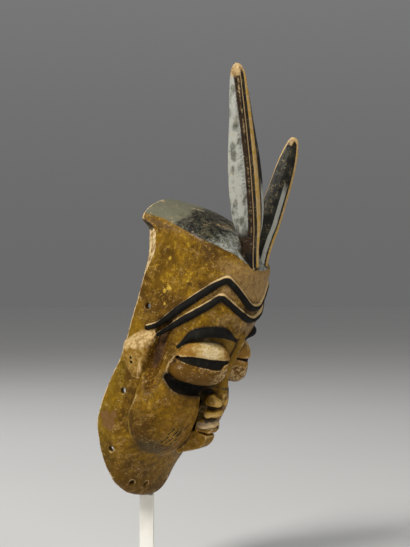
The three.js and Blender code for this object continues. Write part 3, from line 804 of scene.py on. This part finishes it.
def toCarving(points):
    tilt = math.radians(maskPlace["tilt"])
    x, y, z = (np.asarray(points, float) / mm - [0, maskPlace["back"], maskPlace["lift"]]).T
    return np.stack([x, maskPlace["rimCentre"] - (y * math.cos(tilt) + z * math.sin(tilt)),
                     z * math.cos(tilt) - y * math.sin(tilt)], axis=1)


def link(name, mesh):
    piece = bpy.data.objects.new(name, mesh)
    bpy.context.scene.collection.objects.link(piece)
    return piece


def applyModifiers(piece):
    graph = bpy.context.evaluated_depsgraph_get()
    piece.modifiers.update()
    mesh = bpy.data.meshes.new_from_object(piece.evaluated_get(graph))
    piece.modifiers.clear()
    piece.data = mesh
    return piece


def vertexPoints(mesh):
    points = np.empty(len(mesh.vertices) * 3, np.float32)
    mesh.vertices.foreach_get("co", points)
    return points.reshape(-1, 3).astype(float)


# Gouge marks in the hollow: rows of short scoops that run with the grain
def gougeDepth(points):
    across, forward, height = points.T
    angle = bowlPlace(across, forward, height)[1]
    x = np.sign(across) * np.radians(angle) * tool["gougeRound"] / tool["gougeWide"]
    x = x + tool["gougeSway"] * lumps(points, 40, 5)
    column = np.floor(x)
    slide = np.abs(np.sin(column * 12.9898) * 43758.5) % 1
    y = height / tool["gougeLong"] + slide
    row = np.floor(y)
    depth = 0.45 + 0.55 * (np.abs(np.sin(column * 78.2 + row * 37.7) * 1543.3) % 1)
    scoop = 1 - (2 * (x - column) - 1) ** 2
    run = 1 - np.abs(2 * (y - row) - 1) ** 3
    return depth * scoop * run


def carvedMask():
    block = carveMask()
    print("mask: carved")
    points, faces = skinOf(block)
    for _ in range(2):
        points = relax(points, faces, 0.5)
        value, slope = sampleField(block, points)
        size = np.maximum(np.linalg.norm(slope, axis=1), 0.4)
        points = points - slope * (np.clip(value, -1, 1) / size**2)[:, None]
    mesh = bpy.data.meshes.new("carving")
    mesh.from_pydata(toScene(points).tolist(), [], faces.tolist())
    mesh.update()
    piece = link("carvedMask", mesh)
    thin = piece.modifiers.new("thin", "DECIMATE")
    triangles = 2 * len(faces)
    thin.ratio = min(1, maskPlace["mostTriangles"] / triangles)
    applyModifiers(piece)
    print("mask: skin,", triangles, "triangles, then", sum(len(p.vertices) - 2 for p in piece.data.polygons))
    mesh = piece.data
    # the carving's own frame is a mirror image of the scene's, so its faces are turned outwards again
    mesh.flip_normals()
    points = toCarving(vertexPoints(mesh))
    _, slope = sampleField(block, points)
    normal = slope / np.maximum(np.linalg.norm(slope, axis=1), 1e-6)[:, None]
    zones = paintZones(points)
    zones["edge"] = roundness(block, points, 2.6)
    zones["swell"] = roundness(block, points, 6.5)
    inside = smoothStep(zones["hollow"], -1, 1)
    move = tool["waver"] * lumps(points, tool["waverSize"], 1)
    move = move + tool["facet"] * lumps(points * [1, 1, 0.6], tool["facetSize"], 2)
    move = move + tool["snout"] * lumps(points, tool["snoutSize"], 3) * smoothStep(zones["muzzle"], 0, 4)
    move = move * (1 - smoothStep(zones["horn"], -1, 1) * 0.6)
    move = move * (1 - inside) - inside * tool["gouge"] * gougeDepth(points)
    move = move - stainsAndLight["strokeDeep"] * smoothStep(zones["stroke"], -0.6, 0.6)
    move = move - earPins["deep"] * smoothStep(zones["pin"], -0.5, 0.8)
    # the rim stays true on the post
    rest = np.abs(points[:, 1] - maskPlace["restAt"]) + points[:, 2]
    move = move * smoothStep(rest - maskPlace["restRound"], 0, 8)
    points = points + normal * move[:, None]
    mesh.vertices.foreach_set("co", toScene(points).astype(np.float32).ravel())
    for name, values in zones.items():
        layer = mesh.attributes.new(name, "FLOAT", "POINT")
        layer.data.foreach_set("value", np.clip(values, -99, 999).astype(np.float32))
    place = mesh.attributes.new("place", "FLOAT_VECTOR", "POINT")
    place.data.foreach_set("vector", points.astype(np.float32).ravel())
    mesh.polygons.foreach_set("use_smooth", np.ones(len(mesh.polygons), bool))
    mesh.update()
    return piece


# A shader socket that sums can be written with
class Wire:
    def __init__(self, paint, socket):
        self.paint, self.socket = paint, socket

    def math(self, operation, *others):
        return self.paint.node("ShaderNodeMath", {"operation": operation}, dict(enumerate((self, *others))))

    def __add__(self, other):
        return self.math("ADD", other)

    def __sub__(self, other):
        return self.math("SUBTRACT", other)

    def __rsub__(self, other):
        return self.paint.node("ShaderNodeMath", {"operation": "SUBTRACT"}, {0: other, 1: self})

    def __mul__(self, other):
        return self.math("MULTIPLY", other)

    def __neg__(self):
        return self.math("MULTIPLY", -1)

    def size(self):
        return self.math("ABSOLUTE")

    def most(self, other):
        return self.math("MAXIMUM", other)

    def least(self, other):
        return self.math("MINIMUM", other)

    __radd__, __rmul__ = __add__, __mul__


# sRGB values as painters read them, to the linear colour that Blender uses
def shade(red, green, blue):
    parts = [c / 255 for c in (red, green, blue)]
    return tuple(c / 12.92 if c <= 0.04045 else ((c + 0.055) / 1.055) ** 2.4 for c in parts) + (1,)


class Net:
    def __init__(self, tree):
        self.tree = tree

    def node(self, kind, settings=None, inputs=None, output=0):
        node = self.tree.nodes.new(kind)
        for key, value in (settings or {}).items():
            setattr(node, key, value)
        for key, value in (inputs or {}).items():
            if isinstance(value, Wire):
                self.tree.links.new(value.socket, node.inputs[key])
            else:
                node.inputs[key].default_value = value
        return Wire(self, node.outputs[output])

    def step(self, value, low, high):
        return self.node("ShaderNodeMapRange", {"interpolation_type": "SMOOTHSTEP"},
                         {"Value": value, "From Min": low, "From Max": high})

    def mix(self, share, a, b):
        return self.node("ShaderNodeMix", {"data_type": "RGBA"}, {0: share, 6: a, 7: b}, output=2)

    # The three parts of a vector
    def parts(self, vector):
        x = self.node("ShaderNodeSeparateXYZ", {}, {0: vector})
        return [Wire(self, out) for out in x.socket.node.outputs]


class Paint(Net):
    def __init__(self, name, roughness=0.5, metallic=0, gloss=0.5):
        self.material = bpy.data.materials.new(name)
        self.material.use_nodes = True
        super().__init__(self.material.node_tree)
        self.shader = self.tree.nodes["Principled BSDF"]
        self.shader.inputs["Roughness"].default_value = roughness
        self.shader.inputs["Metallic"].default_value = metallic
        self.shader.inputs["Specular IOR Level"].default_value = gloss

    # The carving's own place in millimetres, or any other value that its points carry
    def carried(self, name, output="Fac"):
        return self.node("ShaderNodeAttribute", {"attribute_name": name}, output=output)

    def stretched(self, place, stretch):
        if not stretch:
            return place
        return self.node("ShaderNodeVectorMath", {"operation": "MULTIPLY"}, {0: place, 1: stretch})

    def gap(self, place, point):
        return self.node("ShaderNodeVectorMath", {"operation": "DISTANCE"}, {0: place, 1: point}, output=1)

    def noise(self, place, size, detail=3, rough=0.6, stretch=None):
        return self.node("ShaderNodeTexNoise", {}, {
            "Vector": self.stretched(place, stretch), "Scale": 1 / size, "Detail": detail, "Roughness": rough,
        })

    # Scoops left by a tool: 0 in the middle of each, rising to the ridges between them
    def scoops(self, place, size, stretch=None):
        cell = self.node("ShaderNodeTexVoronoi", {"feature": "F1"},
                         {"Vector": self.stretched(place, stretch), "Scale": 1 / size})
        return cell * cell

    # Thin wandering lines where a noise passes its middle value
    def veins(self, place, size, half, stretch=None):
        return self.step(-(self.noise(place, size, 4, 0.62, stretch) - 0.5).size(), -half, -half * 0.3)

    # Distance to a stroke between two ends, seen from the front
    def stroke(self, across, height, a, b):
        long, high = b[0] - a[0], b[2] - a[2]
        x, y = across - a[0], height - a[2]
        share = ((x * long + y * high) * (1 / (long**2 + high**2))).most(0).least(1)
        x, y = x - share * long, y - share * high
        return (x * x + y * y).math("SQRT")

    # Round patches, each an across, forward, height and radius, with a ragged edge
    def spots(self, place, rows, ragged, soft):
        return functools.reduce(Wire.most, [
            self.step(-self.gap(place, middle) + ragged * radius * 0.5, -radius - soft, -radius + soft)
            for *middle, radius in rows])

    def finish(self, colour, roughness=None, height=None, depth=0.0004, strength=0.6):
        self.tree.links.new(colour.socket, self.shader.inputs["Base Color"])
        if roughness:
            self.tree.links.new(roughness.socket, self.shader.inputs["Roughness"])
        if height:
            bump = {"Height": height, "Distance": depth, "Strength": strength}
            bump = self.node("ShaderNodeBump", {}, bump, "Normal")
            self.tree.links.new(bump.socket, self.shader.inputs["Normal"])
        return self.material


# Paints and woods, as red, green and blue up to 255
woodColours = {
    "ochre": (120, 87, 5), "ochreDark": (78, 52, 4), "ochreLight": (158, 120, 12), "flange": (122, 98, 14),
    "cheek": (138, 98, 14), "noseRidge": (150, 114, 26), "pinkTan": (158, 126, 78), "noseLight": (206, 166, 84),
    "yellowFleck": (206, 170, 62), "valley": (74, 48, 4), "valleyLight": (134, 96, 22), "dirt": (34, 21, 5),
    "black": (24, 23, 18), "soot": (13, 12, 9), "greyed": (42, 40, 32), "capWorn": (106, 104, 84),
    "capPale": (164, 167, 162), "capOlive": (92, 88, 66), "bare": (206, 176, 124), "bareBrown": (122, 86, 46),
    "paleRim": (216, 192, 142), "hornGrey": (172, 172, 162), "hornShade": (104, 104, 94), "hornDark": (56, 54, 42),
    "hornBrown": (48, 34, 20), "yellowLine": (186, 148, 66), "tanLine": (190, 160, 112), "lipGrey": (158, 140, 112),
    "reddish": (112, 80, 46), "lid": (184, 150, 76), "lidPale": (216, 196, 152), "lidBrown": (140, 100, 34),
    "lowerLid": (92, 62, 12), "earPale": (186, 152, 84), "greasy": (52, 42, 16), "hollow": (92, 64, 38),
    "hollowDark": (46, 32, 21), "white": (226, 218, 196),
}


def maskPaint():
    paint = Paint("paintedWood", gloss=0.14)
    step, mix, noise, carried = paint.step, paint.mix, paint.noise, paint.carried
    c = SimpleNamespace(**{name: shade(*parts) for name, parts in woodColours.items()})
    place = carried("place", "Vector")
    across, forward, height = paint.parts(place)
    broad = noise(place, 46, 2)
    patch = noise(place, 13, 4, 0.65)
    blot = noise(place, 5.5, 4, 0.7)
    fine = noise(place, 2.6, 3, 0.7)
    pore = noise(place, 1.2, 2, 0.6)
    grain = noise(place, 1.1, 2, 0.6, (1, 1, 0.12))
    streak = noise(place, 5, 3, 0.6, (1, 1, 0.16))
    edge, swell = carried("edge"), carried("swell")
    patchy, blotchy, finely = patch - 0.5, blot - 0.5, fine - 0.5
    ragged = finely * 1.6 + patchy * 1.6

    def zone(name, soft, rough=1.0):
        return step(carried(name) + ragged * rough, -soft, soft)

    def between(value, low, high, soft):
        return step(value, low - soft, low + soft) * step(-value, -high - soft, -high + soft)

    # A base with coats over it, each with the share that it covers
    def coats(base, *layers):
        for share, coat in layers:
            base = mix(share, base, coat)
        return base

    # One more coat over the whole colour so far
    def lay(share, coat):
        nonlocal colour
        colour = mix(share, colour, coat)

    # the yellow ochre and its stains
    colour = mix(step(broad, 0.4, 0.6), c.ochreDark, c.ochre)
    lay(step(patch, 0.46, 0.62) * 0.75, c.ochre)
    lay(step(blot + (broad - 0.5) * 0.5, 0.54, 0.68) * 0.55, c.ochreLight)
    lay(step(streak, 0.54, 0.68) * 0.5, c.ochreDark)
    lay(step(-blot, -0.44, -0.34) * 0.6, c.ochreDark)
    lay(step(forward, 58, 80) * step(-height, -200, -170) * step(patch, 0.35, 0.6) * 0.7, c.cheek)
    lay(step(-forward, -30, 6) * step(-height, -215, -180) * step(patch, 0.34, 0.58) * 0.75, c.flange)
    # darker towards the bottom
    lay(step(-height + patchy * 30, -44, -6) * 0.65, c.ochreDark)
    # the forehead is paler and rubbed above the face, flecked with light yellow at the sides
    rubbed = step(forward + patchy * 70 + blotchy * 36, 70, 112) * between(height + blotchy * 20, 264, 306, 10)
    lay(rubbed * 0.85, c.pinkTan)
    lay(step(forward, 86, 100) * between(height, 216, 250, 5) * step(patch, 0.4, 0.6) * 0.45, c.pinkTan)
    high = step(height, 205, 225)
    veins = paint.veins(place, 9, 0.014) * step(blot, 0.52, 0.6)
    lay(veins * (0.3 + 0.5 * high), c.yellowFleck)
    lay(step(pore + patchy * 0.5, 0.7, 0.78) * (0.3 + 0.4 * high), c.yellowFleck)
    # painted light along the front of the nose's ridge
    lay(step(forward, 101, 107) * between(height, 145, 221, 5) * 0.6, c.noseRidge)
    # the valley in front of the ears, and painted shade on the jowl's lower end
    valley = step(carried("valley") + patchy * 0.5, -0.1, 0.5)
    lay(valley * 0.92, mix(step(fine + blotchy * 0.6, 0.5, 0.66), c.valley, c.valleyLight))
    jowlShadeGap = paint.gap(paint.stretched(place, stainsAndLight["jowlSqueeze"]), stainsAndLight["jowlEndShade"])
    lay(step(-jowlShadeGap + patchy * 14, -13, -4) * 0.6, c.ochreDark)
    lay(paint.spots(place, stainsAndLight["greasy"], patchy * 1.6, 6) * 0.75, c.greasy)
    ear = zone("ear", 0.6, 0.6) * step(-forward + patchy * 10, -36, -31)
    lay(ear * 0.6, mix(step(blot, 0.4, 0.62), c.cheek, c.earPale))
    # painted light on the ear's top face
    earTopLight = ear * step(height + (forward - 15) * -0.35 + blotchy * 6, 172, 178)
    lay(earTopLight * (0.25 + 0.5 * step(blot, 0.4, 0.6)), c.bare)
    earLine = ear * between(forward + finely * 2, 29.6, 31.6, 0.5) * step(-height, -172, -164)
    lay(earLine * 0.55, c.tanLine)
    # dark pores and greasy mottling
    lay(step(-pore - blotchy * 0.8, -0.42, -0.34) * step(forward, 30, 50) * 0.55, c.dirt)
    # eyelids: each upper lid goes from brown through yellow to pale towards a painted highlight in its middle, with
    # some wear
    u, f, v = stainsAndLight["lid"]
    q = paint.gap(place, (-u, f, v)).least(paint.gap(place, (u, f, v)))
    lay(zone("lid", 0.5) * 0.95, coats(
        c.lidBrown,
        (step(-q + blotchy * 26, -26, -12), c.lid),
        (step(-q + blotchy * 34, -24, -6) * step(fine, 0.3, 0.55), c.lidPale),
        (step(-pore - blotchy * 0.6, -0.42, -0.36) * 0.5, c.lidBrown)))
    low, inner = blotchy * 0.8 - (q - 30) * 0.012, step(-across.size() + blotchy * 24, -42, -26)
    lay(zone("lowerLid", 0.5) * 0.9, coats(
        c.lowerLid,
        (step(fine + low, 0.56, 0.72), c.cheek),
        (step(pore + low, 0.68, 0.8) * 0.7, c.lidPale),
        (inner * step(fine + blotchy * 0.9, 0.42, 0.6) * 0.75, c.bare)))
    # painted highlight along the outer rim of each eye socket
    lay(zone("socketEdge", 0.4, 0.5) * step(blot, 0.36, 0.5) * 0.8, c.tanLine)
    lay(zone("cheekEdge", 0.5, 0.5) * step(blot, 0.36, 0.5) * 0.7, c.tanLine)
    # painted shade: darker below the trough under each eye
    shadow = step(carried("shadow") + patchy * 3, -1.5, 5)
    lay(shadow * 0.8, c.dirt)
    # near-black along the crease where the nose meets the face
    lay(zone("noseFoot", 0.4, 0.5) * 0.75, c.soot)
    # painted highlight on the rounded parts of the nose and mouth, painted shade in their creases
    muzzle = step(carried("muzzle"), -1, 2)
    lay(muzzle * step(swell + blotchy * 1.2, 0.25, 1.1) * 0.75, c.noseLight)
    lay(muzzle * step(-swell + finely * 0.6, 0.05, 0.7) * 0.85, c.dirt)
    # black: paint on the forehead bands, brows and slits, and in the hollows under the eyes partly paint and partly
    # painted shade
    black = zone("band", 0.3, 0.4).most(zone("slit", 0.3, 0.25)).most(zone("underEye", 0.5, 0.9))
    # painted shade: dark olive over the recesses beside the nose and the mouth
    lay(zone("recess", 0.5, 1.2) * 0.85, c.greasy)
    lay(black, coats(
        c.soot, (step(patch, 0.42, 0.7), c.black), (step(streak + finely * 0.5, 0.56, 0.72) * 0.5, c.greyed)))
    # painted sheen: grey patches on the dark band of each closed eye
    lay(zone("slit", 0.3, 0.25) * step(blot, 0.5, 0.62) * 0.6, c.greyed)
    # lips
    lay(zone("paleLip", 0.5, 0.8) * 0.85, c.lipGrey)
    # cap: black at the sides, worn grey at the back, patchy pale grey above the face, partly wear and partly a
    # painted sheen
    wornBack = step(-forward + patchy * 36, -24, -10)
    frontWearAndSheen = step(forward + patchy * 56, 58, 76) * step(-height, -348, -334)
    lay(zone("cap", 0.4, 0.9), coats(
        c.black,
        (step(streak + finely * 0.4, 0.5, 0.66) * 0.75, c.capOlive),
        (paint.veins(place, 8, 0.025, (1, 1, 0.4)) * 0.5, c.capWorn),
        (wornBack * 0.9, c.capWorn),
        (frontWearAndSheen * 0.85, mix(step(fine + blotchy, 0.4, 0.6), c.capWorn, c.capPale))))
    # horns: dark, with a painted sheen on the outer face, a painted highlight along the inner side, yellow lines
    # along the front and bare wood at the tips
    along, outer, front, toTip = (carried("horn" + name) for name in ("Along", "Out", "Front", "Tip"))
    cell = paint.scoops(place, 9, (1, 1, 0.6))
    outerSheen = step(outer + ragged * 0.6, 7.4, 8.4) * step(along + outer * 0.8 + patchy * 20, 52, 76)
    brown = step(outer + ragged * 0.4, -0.6, 0) * (1 - outerSheen)
    # painted highlight: a light grey strip on the inner side, near the front
    strip = (between(front + ragged * 0.5, 4.4, 9.2, 0.4) * step(-outer, 4, 5)
             * step(-along + patchy * 16, -112, -96))
    yellow = step(outer + ragged * 0.3, -6.2, -5.6) * step(-outer - ragged * 0.3, 1.9, 2.5)
    yellow = yellow.most(between(front + ragged * 0.2, -1, 2.4, 0.3) * step(-outer, 3.5, 4.5)) * step(along, 6, 9)
    tip = step(-toTip + patchy * 14, -16, -12)
    lay(zone("horn", 0.5, 0.4), coats(
        c.black,
        (step(patch, 0.4, 0.65), c.hornDark),
        (step(streak, 0.58, 0.7) * 0.6, c.greyed),
        (brown, mix(step(blot, 0.52, 0.62), c.hornBrown, c.soot)),
        (outerSheen, coats(
            c.hornShade,
            (step(streak * 0.7 + patch * 0.3 + (cell - 0.2) * 0.7, 0.36, 0.62), c.hornGrey),
            (paint.veins(place, 7, 0.022, (1, 1, 0.5)) * 0.55, c.capPale),
            (step(-blot, -0.42, -0.34) * 0.5, c.hornDark))),
        (step(-along + patchy * 10, -32, -22), c.soot),
        (strip * 0.9, c.hornGrey),
        (yellow * 0.95, mix(step(blot, 0.4, 0.6), c.yellowLine, c.tanLine)),
        (between(outer + ragged * 0.15, 1.6, 2.7, 0.35) * 0.75, c.tanLine),
        (tip * step(edge + swell * 0.3 + finely * 0.5, 0.55, 0.9) * 0.85, c.tanLine),
        (tip * step(blot, 0.5, 0.6) * 0.5, c.bareBrown)))
    # bare wood on the edges, partly wear and partly a painted highlight; darker in corners and hollows, partly dirt
    # and partly painted shade
    wearAndEdgeLight = step(edge + finely * 0.7 + patchy * 0.9, 0.4, 0.75) * (1 - black) * (1 - shadow)
    lay(wearAndEdgeLight * 0.7, c.bare)
    # bare wood and a painted highlight along the upper side of each forehead band
    lay(zone("litEdge", 0.3, 0.6) * step(patch, 0.3, 0.5) * 0.9, c.bare)
    jowlEdge = between(carried("jowl"), -6, 3, 1.5) * step(-forward, -76, -66)
    dirt = step(-edge + finely * 0.4, 0.16, 0.62) * (1 - 0.85 * jowlEdge)
    lay(dirt * 0.8, c.dirt)
    grimeAndShade = step(-swell + blotchy * 0.8, 0.5, 1.5)
    lay(grimeAndShade * 0.55 * (1 - 0.6 * jowlEdge), c.dirt)
    # painted highlight along the jowl's rounded edge, on the side towards the light
    jowlEdgeLight = between(carried("jowl") + ragged * 0.5, 3, 5.5, 0.8) * between(height, 78, 150, 10)
    lay(jowlEdgeLight * step(-forward, -60, -50) * step(patch, 0.34, 0.54) * 0.45, c.yellowFleck)
    # local marks on the near wall
    lay(paint.spots(place, stainsAndLight["reddish"], blotchy * 3.4, 0.5) * 0.85, c.reddish)
    lay(paint.spots(place, stainsAndLight["chips"], finely * 7, 0.5) * 0.7, c.yellowFleck)
    lay(paint.spots(place, stainsAndLight["white"], finely * 1.2, 0.4) * 0.9, c.white)
    # the hollow: bare wood, dark with age
    lay(zone("hollow", 0.4, 0.4), coats(
        c.hollowDark, (step(streak, 0.35, 0.65), c.hollow), (step(grain, 0.5, 0.7) * 0.35, c.bareBrown)))
    lay(zone("rim", 0.4, 0.7) * 0.95, mix(step(grain + blotchy * 0.5, 0.4, 0.65), c.paleRim, c.bareBrown))
    # near-black band just under the crown's back lip
    lay(zone("underLip", 0.8, 0.8) * 0.9, c.soot)
    # the cheek's strokes and the ear's pin holes
    marks = functools.reduce(Wire.least, [paint.stroke(across, height, *ends) for ends in stainsAndLight["strokes"]])
    marks = marks + finely * 0.9
    nearWall = step(-across, 20, 24) * step(forward, 30, 40)
    lay(step(-marks, -2.3, -1.5) * nearWall * 0.3, c.yellowFleck)
    lay(step(-marks, -1.5, -0.9) * nearWall, c.soot)
    radius, squeeze = earPins["radius"], earPins["squeeze"]
    for pin in earPins["places"]:
        gap = paint.gap(paint.stretched(place, squeeze), [a * b for a, b in zip(pin, squeeze)])
        lay(step(-gap, -radius - 0.3, -radius + 0.3) * step(-across, 73, 75), c.soot)
    # fly spots and scratches
    lay(step(noise(place, 1.5, 2, 0.5), 0.66, 0.71) * 0.5, c.dirt)
    scratch = paint.veins(paint.stretched(place, (1, 0.5, 1)), 11, 0.007) * step(patch, 0.5, 0.56)
    lay(scratch * 0.6 * (1 - black), c.bare)
    inside = zone("hollow", 0.35)
    varnish = step(patch + blotchy * 0.6, 0.44, 0.66) * (1 - black) * (1 - inside) * (1 - valley)
    paint.shader.inputs["Coat Roughness"].default_value = 0.28
    paint.tree.links.new((varnish * 0.22).socket, paint.shader.inputs["Coat Weight"])
    roughness = 0.26 + 0.3 * patch + 0.2 * fine + 0.2 * dirt + 0.3 * inside + 0.18 * black + 0.3 * valley
    relief = fine * 0.35 + patch * 0.5 + blot * 0.5 + grain * 0.2 + paint.scoops(place, 10) * 0.9
    return paint.finish(colour, roughness, relief, 0.0011, 0.6)


def standPaint():
    paint = Paint("standPaint")
    place = paint.node("ShaderNodeTexCoord", output="Object")
    cloud = paint.noise(place, 0.05, 3)
    grain = paint.noise(place, 0.0016, 2)
    colour = paint.mix(paint.step(cloud, 0.35, 0.7), shade(226, 223, 214), shade(236, 234, 227))
    colour = paint.mix(paint.step(grain, 0.64, 0.74) * 0.2, colour, shade(196, 190, 178))
    return paint.finish(colour, 0.42 + 0.16 * cloud, grain, 0.0001, 0.35)


def armSteel():
    paint = Paint("armSteel", metallic=1)
    place = paint.node("ShaderNodeTexCoord", output="Object")
    brushed = paint.noise(place, 0.0012, 3, 0.6, (1, 1, 0.05))
    cloud = paint.noise(place, 0.02, 3)
    colour = paint.mix(brushed, shade(120, 118, 114), shade(176, 174, 168))
    colour = paint.mix(paint.step(cloud, 0.55, 0.75) * 0.5, colour, shade(92, 84, 74))
    return paint.finish(colour, 0.3 + 0.2 * brushed + 0.15 * cloud, brushed, 0.00005, 0.3)


def floorPaint():
    paint = Paint("studioFloor", 0.6)
    place = paint.node("ShaderNodeTexCoord", output="Object")
    cloud = paint.noise(place, 0.6, 2)
    return paint.finish(paint.mix(cloud, shade(206, 205, 203), shade(211, 210, 208)))


wood = carvedMask()
wood.name = "carvedMask"
wood.data.materials.clear()
wood.data.materials.append(maskPaint())
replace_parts(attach(wood, "root"), "mask")
print("mask: painted")

post = {"bevel": 0.0012}
foot = {"bevel": 0.001}


# The stand keeps its solids' shapes, with their sharp edges eased
def easedCopy(node, name, bevel, material):
    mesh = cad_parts[node].data.copy()
    mesh.name = name
    piece = link(name, mesh)
    work = bmesh.new()
    work.from_mesh(mesh)
    bmesh.ops.remove_doubles(work, verts=work.verts, dist=1e-6)
    work.to_mesh(mesh)
    work.free()
    ease = piece.modifiers.new("ease", "BEVEL")
    ease.width, ease.segments, ease.limit_method, ease.angle_limit = bevel, 3, "ANGLE", math.radians(40)
    applyModifiers(piece)
    piece.data.polygons.foreach_set("use_smooth", np.ones(len(piece.data.polygons), bool))
    even = piece.modifiers.new("even", "WEIGHTED_NORMAL")
    even.keep_sharp = True
    applyModifiers(piece)
    piece.data.materials.clear()
    piece.data.materials.append(material)
    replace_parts(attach(piece, "root"), node)
    return piece


offWhite = standPaint()
easedCopy("stand_post", "standPost", post["bevel"], offWhite)
easedCopy("stand_foot", "standFoot", foot["bevel"], offWhite)
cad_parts["stand_arm"].data.materials.clear()
steel = armSteel()
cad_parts["stand_arm"].data.materials.append(steel)
print("stand: dressed")

# Studio: a pale floor that runs out of sight, soft light from the left and above, and the camera
studio = {
    "floorRadius": 14, "floorSides": 96, "air": (128, 128, 129), "horizon": (106, 106, 106), "rise": 0.35,
    "camera": [-1.4636, -0.8709, 0.3722], "look": [0.866, 0.5, 0], "lens": 92.66,
    # name, place, what it is aimed at, size, watts and colour
    "boxes": [
        ("keyBox", (-2.9, 0.3, 3.0), (0, 0, 0.33), 1.3, 150, (1, 0.98, 0.94)),
        ("frontBox", (-1.0, -3.8, 1.5), (0, 0, 0.3), 1.5, 34, (1, 0.98, 0.96)),
        ("rearBox", (0.9, 2.2, 2.6), (0, 0, 0.4), 1.2, 34, (0.96, 0.98, 1)),
    ],
}
disc = bpy.data.meshes.new("studioFloor")
around = [math.tau * i / studio["floorSides"] for i in range(studio["floorSides"])]
disc.from_pydata([[math.cos(a) * studio["floorRadius"], math.sin(a) * studio["floorRadius"], 0] for a in around], [],
                 [list(range(len(around)))])
disc.materials.append(floorPaint())
link("studioFloor", disc)

world = bpy.data.worlds.new("studioAir")
bpy.context.scene.world = world
world.use_nodes = True
air = Net(world.node_tree)
rise = air.parts(air.node("ShaderNodeTexCoord", output="Generated"))[2]
sky = air.mix(air.step(rise, 0, studio["rise"]), shade(*studio["horizon"]), shade(*studio["air"]))
air.tree.links.new(sky.socket, air.tree.nodes["Background"].inputs["Color"])

for name, place, aim, size, watts, colour in studio["boxes"]:
    lamp = bpy.data.lights.new(name, "AREA")
    lamp.shape, lamp.size, lamp.energy, lamp.color = "SQUARE", size, watts, colour
    light = link(name, lamp)
    light.location = place
    light.rotation_euler = (Vector(aim) - Vector(place)).to_track_quat("-Z", "Y").to_euler()

lens = bpy.data.cameras.new("camera")
lens.sensor_fit, lens.sensor_height, lens.lens = "VERTICAL", 36, studio["lens"]
lens.clip_end = 100
camera = link("camera", lens)
camera.location = studio["camera"]
camera.rotation_euler = Vector(studio["look"]).to_track_quat("-Z", "Y").to_euler()
bpy.context.scene.camera = camera
bpy.context.scene.view_settings.view_transform = "Standard"
print("studio: lit")
